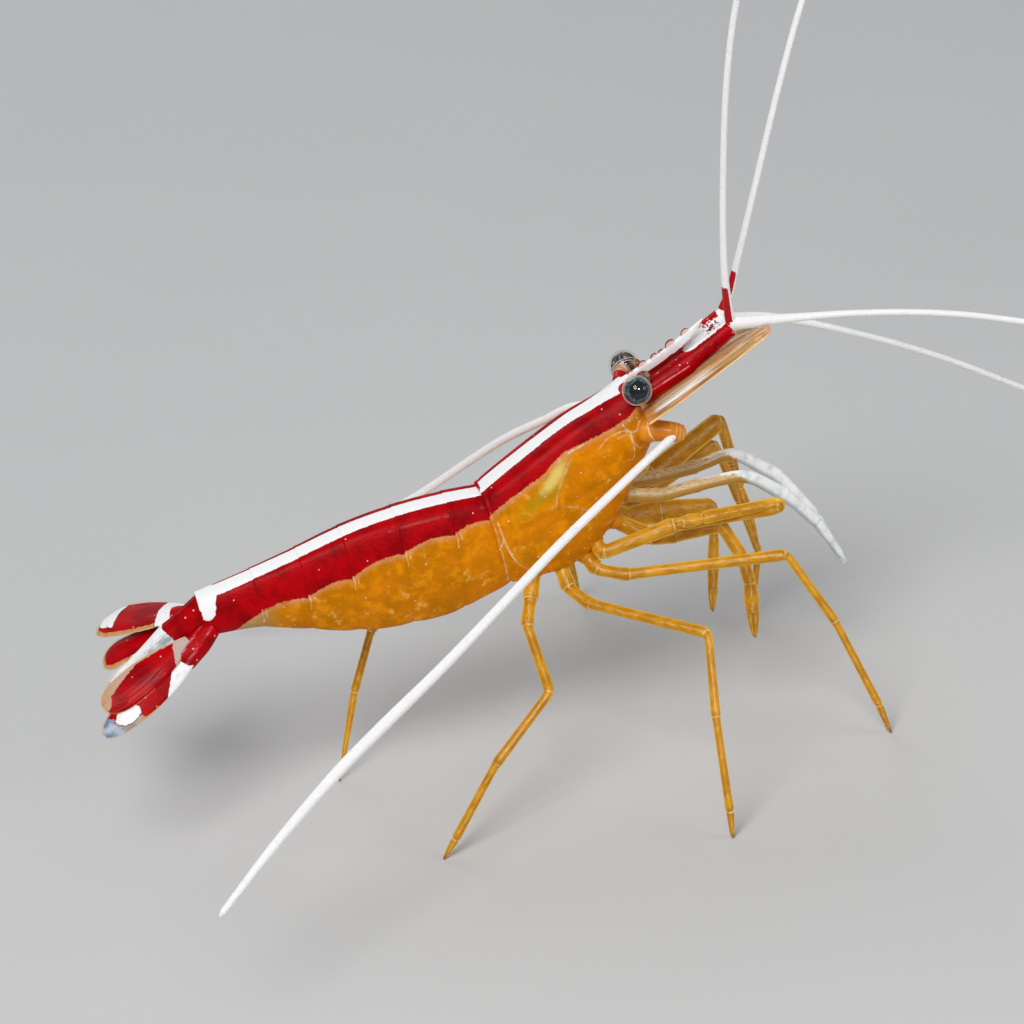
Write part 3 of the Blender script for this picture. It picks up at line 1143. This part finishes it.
def make_palp(side_name, finish):
    side, (length, out, rise) = SIDES[side_name], PALP_TIP
    shape = Shape()
    end = walk(shape, side, PALP_ROOT, PALP, 0.05)
    share = np.linspace(-0.2, 1.1, 24)
    radii = keyed(share, [(-0.2, 0.2), (0, 0.38), (0.4, 0.36), (0.9, 0.26), (1.1, 0.06)])
    tube(shape, straight(end, direction(side, out, rise) * length, share), radii, 18, gap=0.6)
    shape.build(f"maxilliped_2_{side_name}", "limb", finish)


# ---- feelers ----
# The long feelers: root for the left side, runs of length, out and rise, and radii along the whole.
ANTENNAE = {
    "right": (vec(12.7, 3.2, 28.05),
              [(6.4, 155, -18), (8.3, 150, -15), (8, 148, -16), (7.3, 146, -14), (7.1, 146, -12),
               (6, 148, -15), (7.8, 145, -17), (7.1, 147, -23)],
              [.33, .36, .38, .4, .44, .5, .48, .38, .26]),
    "left": (vec(12.2, 3.15, 27.9),
             [(6.8, 157, -1), (3.2, 145, -26), (4.5, 141, -28), (5.3, 138, -34), (4.8, 141, -35),
              (3.1, 145, -32), (9.4, 143, -31), (8, 142, -31), (6.6, 140, -32)],
             [.33, .35, .37, .38, .38, .37, .36, .34, .3, .26]),
}
PEDUNCLE_ROOT = vec(10.3, 1.2, 30.85)
PEDUNCLE = [(4.9, 1, 26), (2.2, 0, 28), (1.9, 0, 30)]
# The short feelers: where they leave the peduncle's end, and their runs.
ANTENNULES = {
    "upper_right": (vec(.12, 0, .22), [(3.1, 110, 87), (3.2, 60, 86), (7.2, 43, 83), (9.2, 48, 80),
                                       (7, 35, 76), (10, 32, 70), (10, 30, 63)]),
    "upper_left": (vec(.12, .1, .3), [(2.1, 2, 62), (2, 9, 68), (6, 15, 67), (9.9, 18, 66), (6.8, 22, 62),
                                      (11, 24, 57), (12, 26, 50)]),
    "lower_right": (vec(.0, -.05, .42), [(3.8, 5, -6), (7.1, 8, -6), (7, 10, -10), (6.7, 11, -16),
                                         (9, 13, -20), (9, 15, -20)]),
    "lower_left": (vec(.1, -.05, -.26), [(4.6, 4, -14), (8.3, 8, -27), (8.9, 11, -32), (9.3, 12, -36),
                                         (7, 14, -34), (7, 16, -28)]),
}
ANTENNULE_RADII = [.42, .34, .28, .27, .27, .26, .25]
# Red at the foot of the upper ones, by distance and by height round the feeler.
ANTENNULE_REDS = {
    "upper_right": lambda far, rise: smooth(far, 4.4, 3.0) * smooth(rise, 0.55, 0.25),
    "upper_left": lambda far, rise: smooth(far, 4.3, 3.2) * smooth(rise, 0.75, 0.45) * smooth(far, 0.1, 0.5),
}
FEELER_SIDES = 18


def make_feeler(name, slot, side, start, runs, radii, finish, foot=0.0, **paints):
    """A finely ringed feeler, foot thicker where it starts."""
    path, knots, far = curve(joints_of(start, side, runs), 0.09)
    thick = np.interp(knots / len(runs) * (len(radii) - 1), np.arange(len(radii)), radii)
    thick = (thick + foot * smooth(far, 8.0, 1.0)) * (1 + 0.008 * np.sin(TURN * far / 0.3))
    shape = Shape()
    painted = tube(shape, path, thick * (smooth(far[-1] - far, -0.05, 0.5) * 0.75 + 0.25), FEELER_SIDES)
    for key, paint in paints.items():
        painted[key] = paint(np.repeat(far, FEELER_SIDES), painted["rise"])
    shape.build(name, slot, finish)


def make_feelers(finish):
    for name, (root, runs, radii) in ANTENNAE.items():
        side = SIDES[name]
        make_feeler(f"antenna_{name}", "flagellum", side, mirrored(root, side), runs, radii, finish,
                    amber=lambda far, rise: smooth(far, 1.3, 0.3))
    for name, (offset, runs) in ANTENNULES.items():
        level, side_name = name.split("_")
        side = SIDES[side_name]
        end = joints_of(mirrored(PEDUNCLE_ROOT, side), side, PEDUNCLE)[-1]
        upper = level == "upper"
        make_feeler(f"antennule_{name}", "flagellum_red" if upper else "flagellum", side,
                    end + mirrored(offset, side), runs, ANTENNULE_RADII, finish, foot=0.0 if upper else 0.16,
                    **({"red": ANTENNULE_REDS[name]} if upper else {}))


# ---- peduncles and antennal bases ----
ROUND_SIDES = 56
BASE_ROOT = vec(9.4, 2.0, 28.4)
BASES = {"right": [(2.1, 24, -2), (1.8, 12, -20)], "left": [(2.1, 24, -4), (1.5, 14, -20)]}


def make_peduncle(side_name, finish):
    """The antennule's foot: three joints in one smooth run, white on its inner face."""
    side = SIDES[side_name]
    joints = joints_of(mirrored(PEDUNCLE_ROOT, side), side, PEDUNCLE)
    joints[-1] = joints[-1] + direction(side, *PEDUNCLE[-1][1:]) * 0.3
    path, knots, far = curve([joints[0] - direction(side, 1, 26) * 0.3] + joints, 0.06)
    radii = keyed(knots, [(0, .7), (1, .88), (1.9, .93), (2, .87), (2.08, .84), (2.9, .83), (3, .79),
                          (3.1, .77), (4, .72)]) * round_end(far[-1] - far, 0.4, 0.04)
    shape = Shape()
    painted = tube(shape, path, radii, ROUND_SIDES)
    radial = unit(shape.points[0] - np.repeat(path, ROUND_SIDES, axis=0))
    inward, up = radial @ unit(vec(-0.1, -side * 0.85, 0.5)), radial[:, 2]
    reach, thick = np.repeat(far, ROUND_SIDES) - 0.3, np.repeat(radii, ROUND_SIDES)
    white = np.minimum((reach - 4.9 - 1.2 * (0.9 - inward) ** 2) * 0.6, (inward - 0.25) * thick)
    if side == LEFT:
        white = np.minimum(white, (0.88 - 0.13 * (reach - 6.6).clip(0) - up) * thick)
    tilt = up + 0.05 * reach
    upper_line = np.abs(tilt - 0.62) * thick + 0.03 + 3 * (reach > 3.8) + 3 * (reach < 1.2)
    painted.update(
        white=np.maximum(white, reach - 9.0 - 0.2 * side * radial[:, 1]),
        crease=np.minimum(np.abs(tilt - 0.35) * thick + 3 * (reach > 4.6) + 3 * (reach < 0.8), upper_line),
        dark=smooth(up, 0.3, 0.6) * smooth(reach, 5.2, 4.2),
        spots=(side == LEFT) * smooth(inward, 0.4, 0.7) * smooth(reach, 6.9, 7.4) * smooth(reach, 8.8, 8.4),
        amber=smooth(-up, 0.3, 0.9) * smooth(reach, 4.5, 0.5))
    along = unit(np.gradient(path, axis=0))[-1]
    for _ in range(40):
        where = joints[-1] - along * RNG.uniform(0.2, 3.2)
        out = squared(vec(RNG.normal(0, .2), side * RNG.uniform(0.2, 1), -RNG.uniform(0.2, 1)), along)
        hair(shape, where + out * 0.68, unit(out + along * 1.8), 0.22, 0.016, white=1.0, crease=2.0)
    shape.build(f"antennular_peduncle_{side_name}", "shell_red", finish)


def make_antennal_base(side_name, finish):
    """A full rounded foot that tapers, through fine hoops, to the feeler's socket."""
    side = SIDES[side_name]
    start, elbow, end = joints_of(mirrored(BASE_ROOT, side) - UP * 0.15, side, BASES[side_name])
    end = end + direction(side, *BASES[side_name][-1][1:]) * 0.1
    path, _, far = curve([start, elbow - UP * 0.12, end], 0.045)
    share = far / far[-1]
    radii = keyed(share, [(0, 0.8), (0.1, 1.0), (0.28, 1.02), (0.34, 0.93), (0.5, 0.86), (0.8, 0.8),
                          (0.92, 0.68), (0.98, 0.46), (1, 0.2)])
    hoops = sum(strength * bell(share, at, width) for strength, at, width in
                [(0.5, 0.66, 0.02), (0.8, 0.77, 0.014), (0.6, 0.85, 0.02), (1.0, 0.94, 0.016)])
    shape = Shape()
    painted = tube(shape, path, radii * (1 + 0.02 * hoops), ROUND_SIDES, rings=hoops)
    slant = (shape.points[0][:, 2] - np.repeat(path[:, 2], ROUND_SIDES)) * 0.35
    painted["gap"] = np.abs(np.repeat(far, ROUND_SIDES) + slant - 0.31 * far[-1]) + 0.02
    shape.build(f"antennal_base_{side_name}", "carapace_shell", finish)


# ---- blades: scales and tail fan ----
SCALES = {
    "right": dict(root=vec(10.1, 2.7, 29.72), run=(12.5, 9, 29.4), half_width=1.58, roll=1),
    "left": dict(root=vec(10.6, 2.85, 29.1), run=(11.7, 5, 14.5), half_width=1.55, roll=-4),
}
TELSON = dict(root=vec(-28.2, 0, 20.95), run=(10.2, 180, -29.5), half_width=1.45, roll=-13)
FAN = {
    "exopod_right": dict(root=vec(-30.0, 2.1, 18.05), run=(10.2, 157, -21.5), half_width=1.42, roll=38),
    "endopod_right": dict(root=vec(-30.2, 1.95, 19.05), run=(8.9, 163, -20), half_width=1.45, roll=38),
    "exopod_left": dict(root=vec(-29.9, 1.9, 19.65), run=(9.3, 134, -15.8), half_width=2.3, roll=-8),
    "endopod_left": dict(root=vec(-30.2, 1.7, 18.85), run=(8.0, 158, -24), half_width=1.75, roll=-14),
}
# The half width at the root, where the blade is widest, and how blunt its tip is.
FAN_OUTLINES = {"exopod_right": (0.5, 0.45, 2.6), "endopod_right": (0.32, 0.6, 3.4),
                "exopod_left": (0.5, 0.7, 3.6), "endopod_left": (0.5, 0.7, 3.6)}
PROTOPODS = {"right": (vec(-28.05, 1.0, 19.15), (3.8, 158, -30.5), 1.02),
             "left": (vec(-28.2, .75, 19.7), (2.9, 148, -20), .84)}


def blunt(share, root, full, power):
    """Half width along a blade: it widens to full, then rounds off to a blunt end."""
    rising = root + (1 - root) * np.sin(math.pi / 2 * np.clip(share / full, 0, 1))
    over = np.clip(share - full, 0, None) / (1 - full)
    return np.where(share < full, rising, np.sqrt(np.maximum(0.012, 1 - over**power)))


class Blade:
    """A thin plate: its upper and lower sheets as one closed ring of points per row. Rows run along
    it by share, far and half (its half width); columns run round it by across and upper."""

    def __init__(self, side, root, run, half_width, roll, outline, thick, crown, rows=90, cols=56):
        self.length, *turns = run
        self.start, self.ahead = mirrored(root, side), direction(side, *turns)
        level = unit(np.cross(UP, self.ahead))
        angle = side * math.radians(roll)
        self.width = level * math.cos(angle) + np.cross(self.ahead, level) * math.sin(angle)
        self.normal = unit(np.cross(self.ahead, self.width))
        turn = np.linspace(0, TURN, cols, endpoint=False)[None]
        self.across, self.upper = signed_power(np.cos(turn), 0.8), np.sin(turn)
        self.share = 1 - (1 - np.linspace(0, 1, rows)[:, None]) ** 1.5
        self.far = self.share * self.length
        self.half = half_width * outline(self.share)
        self.aside = self.half * self.across
        self.rim = np.minimum(self.half * (1 - np.abs(self.across)), (1 - self.share) * self.length)
        up = thick(self.share) / 2 * signed_power(self.upper, 0.9) * (1 - 0.35 * self.across**2)
        bend = crown * (self.half * (1 - self.across**2) - half_width * 0.5)
        self.points = self.at(self.share[..., None], self.aside[..., None])
        self.lift(up + bend)

    def at(self, share, aside):
        return self.start + self.ahead * self.length * share + self.width * aside

    def lift(self, amount):
        self.points = self.points + self.normal * amount[..., None]

    def loft(self, shape, **values):
        shape.loft(self.points, across=self.across, along=self.far, edge=self.rim,
                   rib=self.far * 0.9 + self.aside * 0.43, **values)

    def fringe(self, shape, start, length, spacing=0.085, radius=0.02, edges=(-1, 1), **values):
        """Fine hairs along the margin, from a share of its way round to the tip."""
        for edge in edges:
            margin = self.at(self.share, edge * self.half) - self.normal * 0.03
            far = travelled(margin)
            for d in np.arange(start * far[-1], far[-1], spacing):
                here, beyond = read_at(margin, far, d), read_at(margin, far, min(far[-1], d + 0.1))
                run = unit(beyond - here) if np.linalg.norm(beyond - here) > 1e-6 else self.ahead
                out = unit(np.cross(self.normal, run) * edge)
                if np.dot(out, self.width * edge) < -0.2:
                    out = -out
                lean = unit(out * 0.8 + self.ahead * 0.7 + RNG.normal(0, 0.06, 3))
                hair(shape, here - out * 0.05, lean, length * RNG.uniform(0.75, 1.05), radius, **values)


def make_scale(side_name, finish):
    side = SIDES[side_name]
    b = Blade(side, crown=0.16, **SCALES[side_name],
              outline=lambda s: keyed(s, [(0, 1.05), (0.15, 1.16), (0.5, 1), (0.93, 0.8), (0.98, 0.6),
                                          (1, 0.3)]),
              thick=lambda s: 0.46 * keyed(s, [(0, 1), (0.85, 0.85), (1, 0.5)]))
    outer, share = b.across * side, b.share
    ridge = 0.1 * bell(outer, 0.82, 0.09) + 0.05 * bell(outer, 0.35, 0.05) + 0.04 * bell(outer, 0.1, 0.05)
    b.lift(ridge * (b.upper > 0))
    glare = (0.95 * smooth(share, 0.05, 0.12) * smooth(share, 0.6, 0.42)
             * np.clip(bell(outer, 0.55, 0.16) + bell(outer, 0.1, 0.08), 0, 1)
             + 0.7 * bell(share, 0.78, 0.06) * bell(outer, 0.1, 0.1))
    root = smooth(share, 0.13, 0.03) * 0.8 + smooth(outer, -0.1, -0.7) * smooth(share, 0.6, 0.1)
    shape = Shape()
    b.loft(shape, line=np.clip(0.8 * bell(outer, 0.97, 0.03) + 0.3 * bell(outer, -0.3, 0.02), 0, 1),
           glare=np.clip(glare, 0, 1) * (b.upper > -0.4), root=np.clip(root, 0, 1),
           ribbed=smooth(outer, 0.2, -0.4), tip=smooth(share, 0.95, 0.99) * 0.8)
    share = np.linspace(0, 1, 20)
    tooth = straight(b.at(0.9, side * b.half[-8] * 0.8), b.ahead, 1.05 * share - 0.3)
    tube(shape, tooth, 0.24 * (1 - share**3 * 0.9), 16, tip=0.9)
    b.fringe(shape, 0.3, 0.42, edges=(-side,), radius=0.016, line=0.5)
    shape.build(f"antennal_scale_{side_name}", "scale_blade", finish)


def make_telson(finish):
    b = Blade(LEFT, crown=0.46, cols=64, **TELSON,
              outline=lambda s: keyed(s, [(0, 0.95), (0.3, 0.92), (0.38, 1.0), (0.9, 0.3), (1, 0.12)]),
              thick=lambda s: keyed(s, [(0, 1.36), (0.625, 0.5)]) * keyed(s, [(0.9, 1), (1, 0.5)]))
    middle = np.abs(b.across)
    groove = 0.06 * bell(middle, 0, 0.1) - 0.05 * bell(middle, 0.3, 0.1) + 0.05 * bell(middle, 0.5, 0.1)
    b.lift(groove * (b.upper > 0))
    shape = Shape()
    b.loft(shape, white=b.far - 3.95 + 0.3 * middle, red=4.3 - b.far,
           grey=smooth(b.across, 0.15, 0.6) * smooth(b.far, 8.5, 6.5))
    for pair in (0.35, 0.55):
        for edge in (-1, 1):
            i = int(len(b.share) * pair)
            hair(shape, b.at(b.share[i], edge * b.half[i] * 0.6) + b.normal * 0.1,
                 unit(b.ahead + b.normal * 0.25), 0.45, 0.05, white=2.0, edge=1.0)
    b.fringe(shape, 0.8, 0.5, spacing=0.1, white=2.0, edge=1.0)
    shape.build("telson", "white_shell", finish)


def fan_paint(kind, b, outer):
    """The red and white fields of one tail blade, and its blue tip or combed edge."""
    far, rim, aside = b.far, b.rim, b.half * outer
    if kind == "exopod_right":
        red = np.minimum(rim - 0.04 - 0.1 * smooth(far, 5, 8), 8.5 - far - 0.5 * outer)
        foot = np.minimum(2.35 + 1.4 * aside - far, (aside + 0.05) * 1.5)
        patch = 0.66 - np.hypot((far - 7.6) / 1.7, aside - 0.2 + 0.15 * (far - 7.6))
        border = 0.6 * smooth(outer, 0.5, 0.8) * smooth(far, 6.3, 7.4)
        return dict(red=np.minimum(red, 0.72 - aside + 2 * smooth(far, 7.0, 6.0)),
                    white=np.maximum(foot, patch), blue=np.maximum(smooth(far, 8.1, 8.9), border))
    if kind == "endopod_right":
        inner = b.half + aside
        red = np.minimum(inner - keyed(far, [(2, 0.2), (4.5, 0.22), (7.2, 0.85)]), far - 1.1 - 0.5 * inner)
        return dict(red=np.minimum(red, 8.1 - far + 0.9 * outer), white=-1.0,
                    comb=0.5 + 0.4 * smooth(far, 2.6, 1.8) - 0.25 * smooth(far, 7, 8))
    if kind == "exopod_left":
        tip = np.minimum(far - 7.3 - 0.5 * outer, (outer + 0.6) * 1.5)
        return dict(red=np.minimum(rim - 0.05 - 0.32 * smooth(-outer, 0.0, 0.5), 9.2 - far),
                    white=np.minimum(np.maximum(2.5 - far + 0.4 * outer, tip), rim - 0.03))
    return dict(red=np.minimum(rim - 0.3 - 0.1 * smooth(-outer, 0, 0.5), far - 0.2), white=-1.0)


def make_fan(finish):
    for kind, spec in FAN.items():
        side = SIDES[kind.split("_")[1]]
        b = Blade(side, crown=0.14, rows=110, cols=72, **spec,
                  outline=lambda s: blunt(s, *FAN_OUTLINES[kind]),
                  thick=lambda s: 0.44 * keyed(s, [(0, 1.05), (0.8, 0.85), (1, 0.4)]))
        outer = -b.across * side
        rib = 0.04 * bell(outer, 0.1, 0.2) * smooth(b.share, 0.95, 0.5) + 0.04 * bell(outer, 0.86, 0.08)
        b.lift(rib * (b.upper > 0) + 0.01 * np.sin(b.aside * 40))
        shape = Shape()
        b.loft(shape, **fan_paint(kind, b, outer))
        b.fringe(shape, 0.5, 0.24, radius=0.014, white=-2.0, red=-2.0, edge=0.05, rib=0.1)
        shape.build(f"uropod_{kind}", "fan_blade", finish)


def make_protopods(finish):
    for name, (root, (length, *turns), radius) in PROTOPODS.items():
        side = SIDES[name]
        share = np.linspace(-0.08, 1.06, 70)
        radii = radius * keyed(share, [(-0.08, 0.5), (0, 0.8), (0.2, 0.9), (0.45, 1), (0.85, 1.08),
                                       (0.98, 1.04), (1.04, 0.8), (1.06, 0.4)])
        flare = vec(-0.1, 0.4 * (side == RIGHT), 0.75) * (0.34 * smooth(share, 0.3, 1.0))[:, None]
        path = straight(mirrored(root, side), direction(side, *turns) * length, share) + flare
        shape = Shape()
        painted = tube(shape, path, radii, 48, tall=keyed(share, [(0, 1), (1, 1.16)]), white=-1.0, red=1.0,
                       edge=1.0)
        rise, along = painted["rise"], painted["along"]
        folds = bell(rise + 0.2 * along, 0.95, 0.06) + 0.8 * bell(rise + 0.12 * along, 0.0, 0.05)
        painted["fold"] = np.clip(folds, 0, 1) * (painted["face"] > 0)
        shape.build(f"uropod_protopod_{name}", "shell_red", finish)


# ---- swimmerets ----
def make_pleopod(i, side_name, finish):
    side, rear = SIDES[side_name], np.array(JOINTS[i])
    x, back, edge, _ = np.array(JOINTS[i - 1]) * 0.7 + rear * 0.3
    size = min(1.0, (back - edge) / 8)
    root = vec(x, side * rear[3] * 0.25, edge + HOLLOW_SHARE * (back - edge))
    keys = root - [(0, 0, 0.05), (0.25 * size, 0, 0.5), (0.7 * size, 0, 0.75), (1.5 * size, 0, 0.9),
                   (2.4 * size, 0, 0.96)]
    t = np.linspace(0, 4, 44)
    radii = keyed(t, [(0, 0.3), (1, 0.34), (2, 0.42 * size), (3, 0.46 * size), (3.8, 0.26), (4, 0.06)])
    shape = Shape()
    tube(shape, spline(keys, t), radii, 26, reference=vec(0, side, 0),
         tall=keyed(t, [(0, 1), (1.2, 0.9), (2, 0.55), (4, 0.5)]))
    for _ in range(26):
        where = spline(keys, np.array([RNG.uniform(2.0, 3.9)]))[0]
        lean = unit(vec(-1, side * RNG.normal(0, 1.0), -RNG.uniform(0, 0.3)))
        hair(shape, where + lean * 0.3 * size, lean, 0.3, 0.018)
    shape.build(f"pleopod_{i}_{side_name}", "swimmeret", finish)


# ---- studio ----
CAMERA_AT = vec(-53.58, -303.48, 183.48)
CAMERA_TARGET = vec(-1.32, 2.25, 21.32)
CAMERA_ROLL = math.radians(9.0)
CAMERA_FIELD = 2 * math.atan(42.667 / 350)
WORLD_COLOUR, WORLD_STRENGTH = (0.93, 0.95, 1.0, 1), 0.3
LIGHT_TARGET = Vector((0, 0, 0.02))
# Place, size and power of each light, in metres and watts, and its colour.
LIGHTS = {
    "key": ((-0.16, -0.26, 0.4), 0.26, 1.5, (1, 0.985, 0.96)),
    "fill": ((0.42, -0.3, 0.24), 0.3, 0.6, (1, 1, 1)),
    "rim": ((-0.1, 0.42, 0.34), 0.3, 0.5, (1, 1, 1)),
    "spark": ((0.03, -0.42, 0.33), 0.1, 0.8, (1, 1, 1)),  # glints only
}
FLOOR_HALF = 6.0


def placed(name, data):
    made = bpy.data.objects.new(name, data)
    bpy.context.scene.collection.objects.link(made)
    return made


def make_camera():
    data = bpy.data.cameras.new("view")
    camera = placed("view", data)
    back = unit(CAMERA_AT - CAMERA_TARGET)
    right = unit(np.cross(UP, back))
    up = np.cross(back, right)
    x = right * math.cos(CAMERA_ROLL) - up * math.sin(CAMERA_ROLL)
    y = up * math.cos(CAMERA_ROLL) + right * math.sin(CAMERA_ROLL)
    turn = Matrix((x, y, back)).transposed().to_4x4()
    camera.matrix_world = Matrix.Translation(Vector((CAMERA_AT + ORIGIN) * MM)) @ turn
    data.sensor_fit = "AUTO"
    data.angle = CAMERA_FIELD
    data.clip_start, data.clip_end = 0.01, 10
    bpy.context.scene.camera = camera


def make_studio():
    world = bpy.data.worlds.new("studio")
    world.use_nodes = True
    shade = world.node_tree.nodes["Background"]
    shade.inputs[0].default_value, shade.inputs[1].default_value = WORLD_COLOUR, WORLD_STRENGTH
    bpy.context.scene.world = world
    bpy.context.scene.view_settings.view_transform = "Standard"
    for name, (at, size, power, colour) in LIGHTS.items():
        data = bpy.data.lights.new(name, "AREA")
        data.shape, data.size, data.energy, data.color = "DISK", size, power, colour
        light = placed(name, data)
        aim = (LIGHT_TARGET - Vector(at)).to_track_quat("-Z", "Y").to_matrix().to_4x4()
        light.matrix_world = Matrix.Translation(Vector(at)) @ aim
        light.visible_diffuse = name != "spark"
    mesh = bpy.data.meshes.new("floor")
    corners = [(x * FLOOR_HALF, y * FLOOR_HALF, 0) for x, y in ((-1, -1), (1, -1), (1, 1), (-1, 1))]
    mesh.from_pydata(corners, [], [(0, 1, 2, 3)])
    mesh.materials.append(floor_finish())
    floor = placed("floor", mesh)


def make_shrimp():
    shell = trunk_finish()
    make_carapace(shell)
    for i in range(len(SOMITES)):
        make_somite(i, shell)
    make_rostrum(rostrum_finish())
    eye, clear, stalk = eye_finish(), cornea_finish(), stalk_finish()
    for side_name in SIDES:
        make_eye(side_name, eye, clear, stalk)
    limb, mouth, bristles = limb_finish(), limb_finish("limb_pale", True), bristle_finish()
    feeler, scale, red, base = feeler_finish(), scale_finish(), peduncle_finish(), base_finish()
    for side_name in SIDES:
        for name in LEGS:
            make_walking_leg(name, side_name, limb)
        for name in CLAWED:
            make_clawed_leg(name, side_name, limb)
        make_mouth_leg(side_name, mouth, bristles)
        make_palp(side_name, limb)
        make_peduncle(side_name, red)
        make_antennal_base(side_name, base)
        make_scale(side_name, scale)
    make_feelers(feeler)
    blade = blade_finish()
    make_telson(blade)
    make_fan(blade)
    make_protopods(blade)
    paddle = paddle_finish()
    for i in range(1, 6):
        for side_name in SIDES:
            make_pleopod(i, side_name, paddle)


make_camera()
make_studio()
make_shrimp()
bpy.context.view_layer.update()
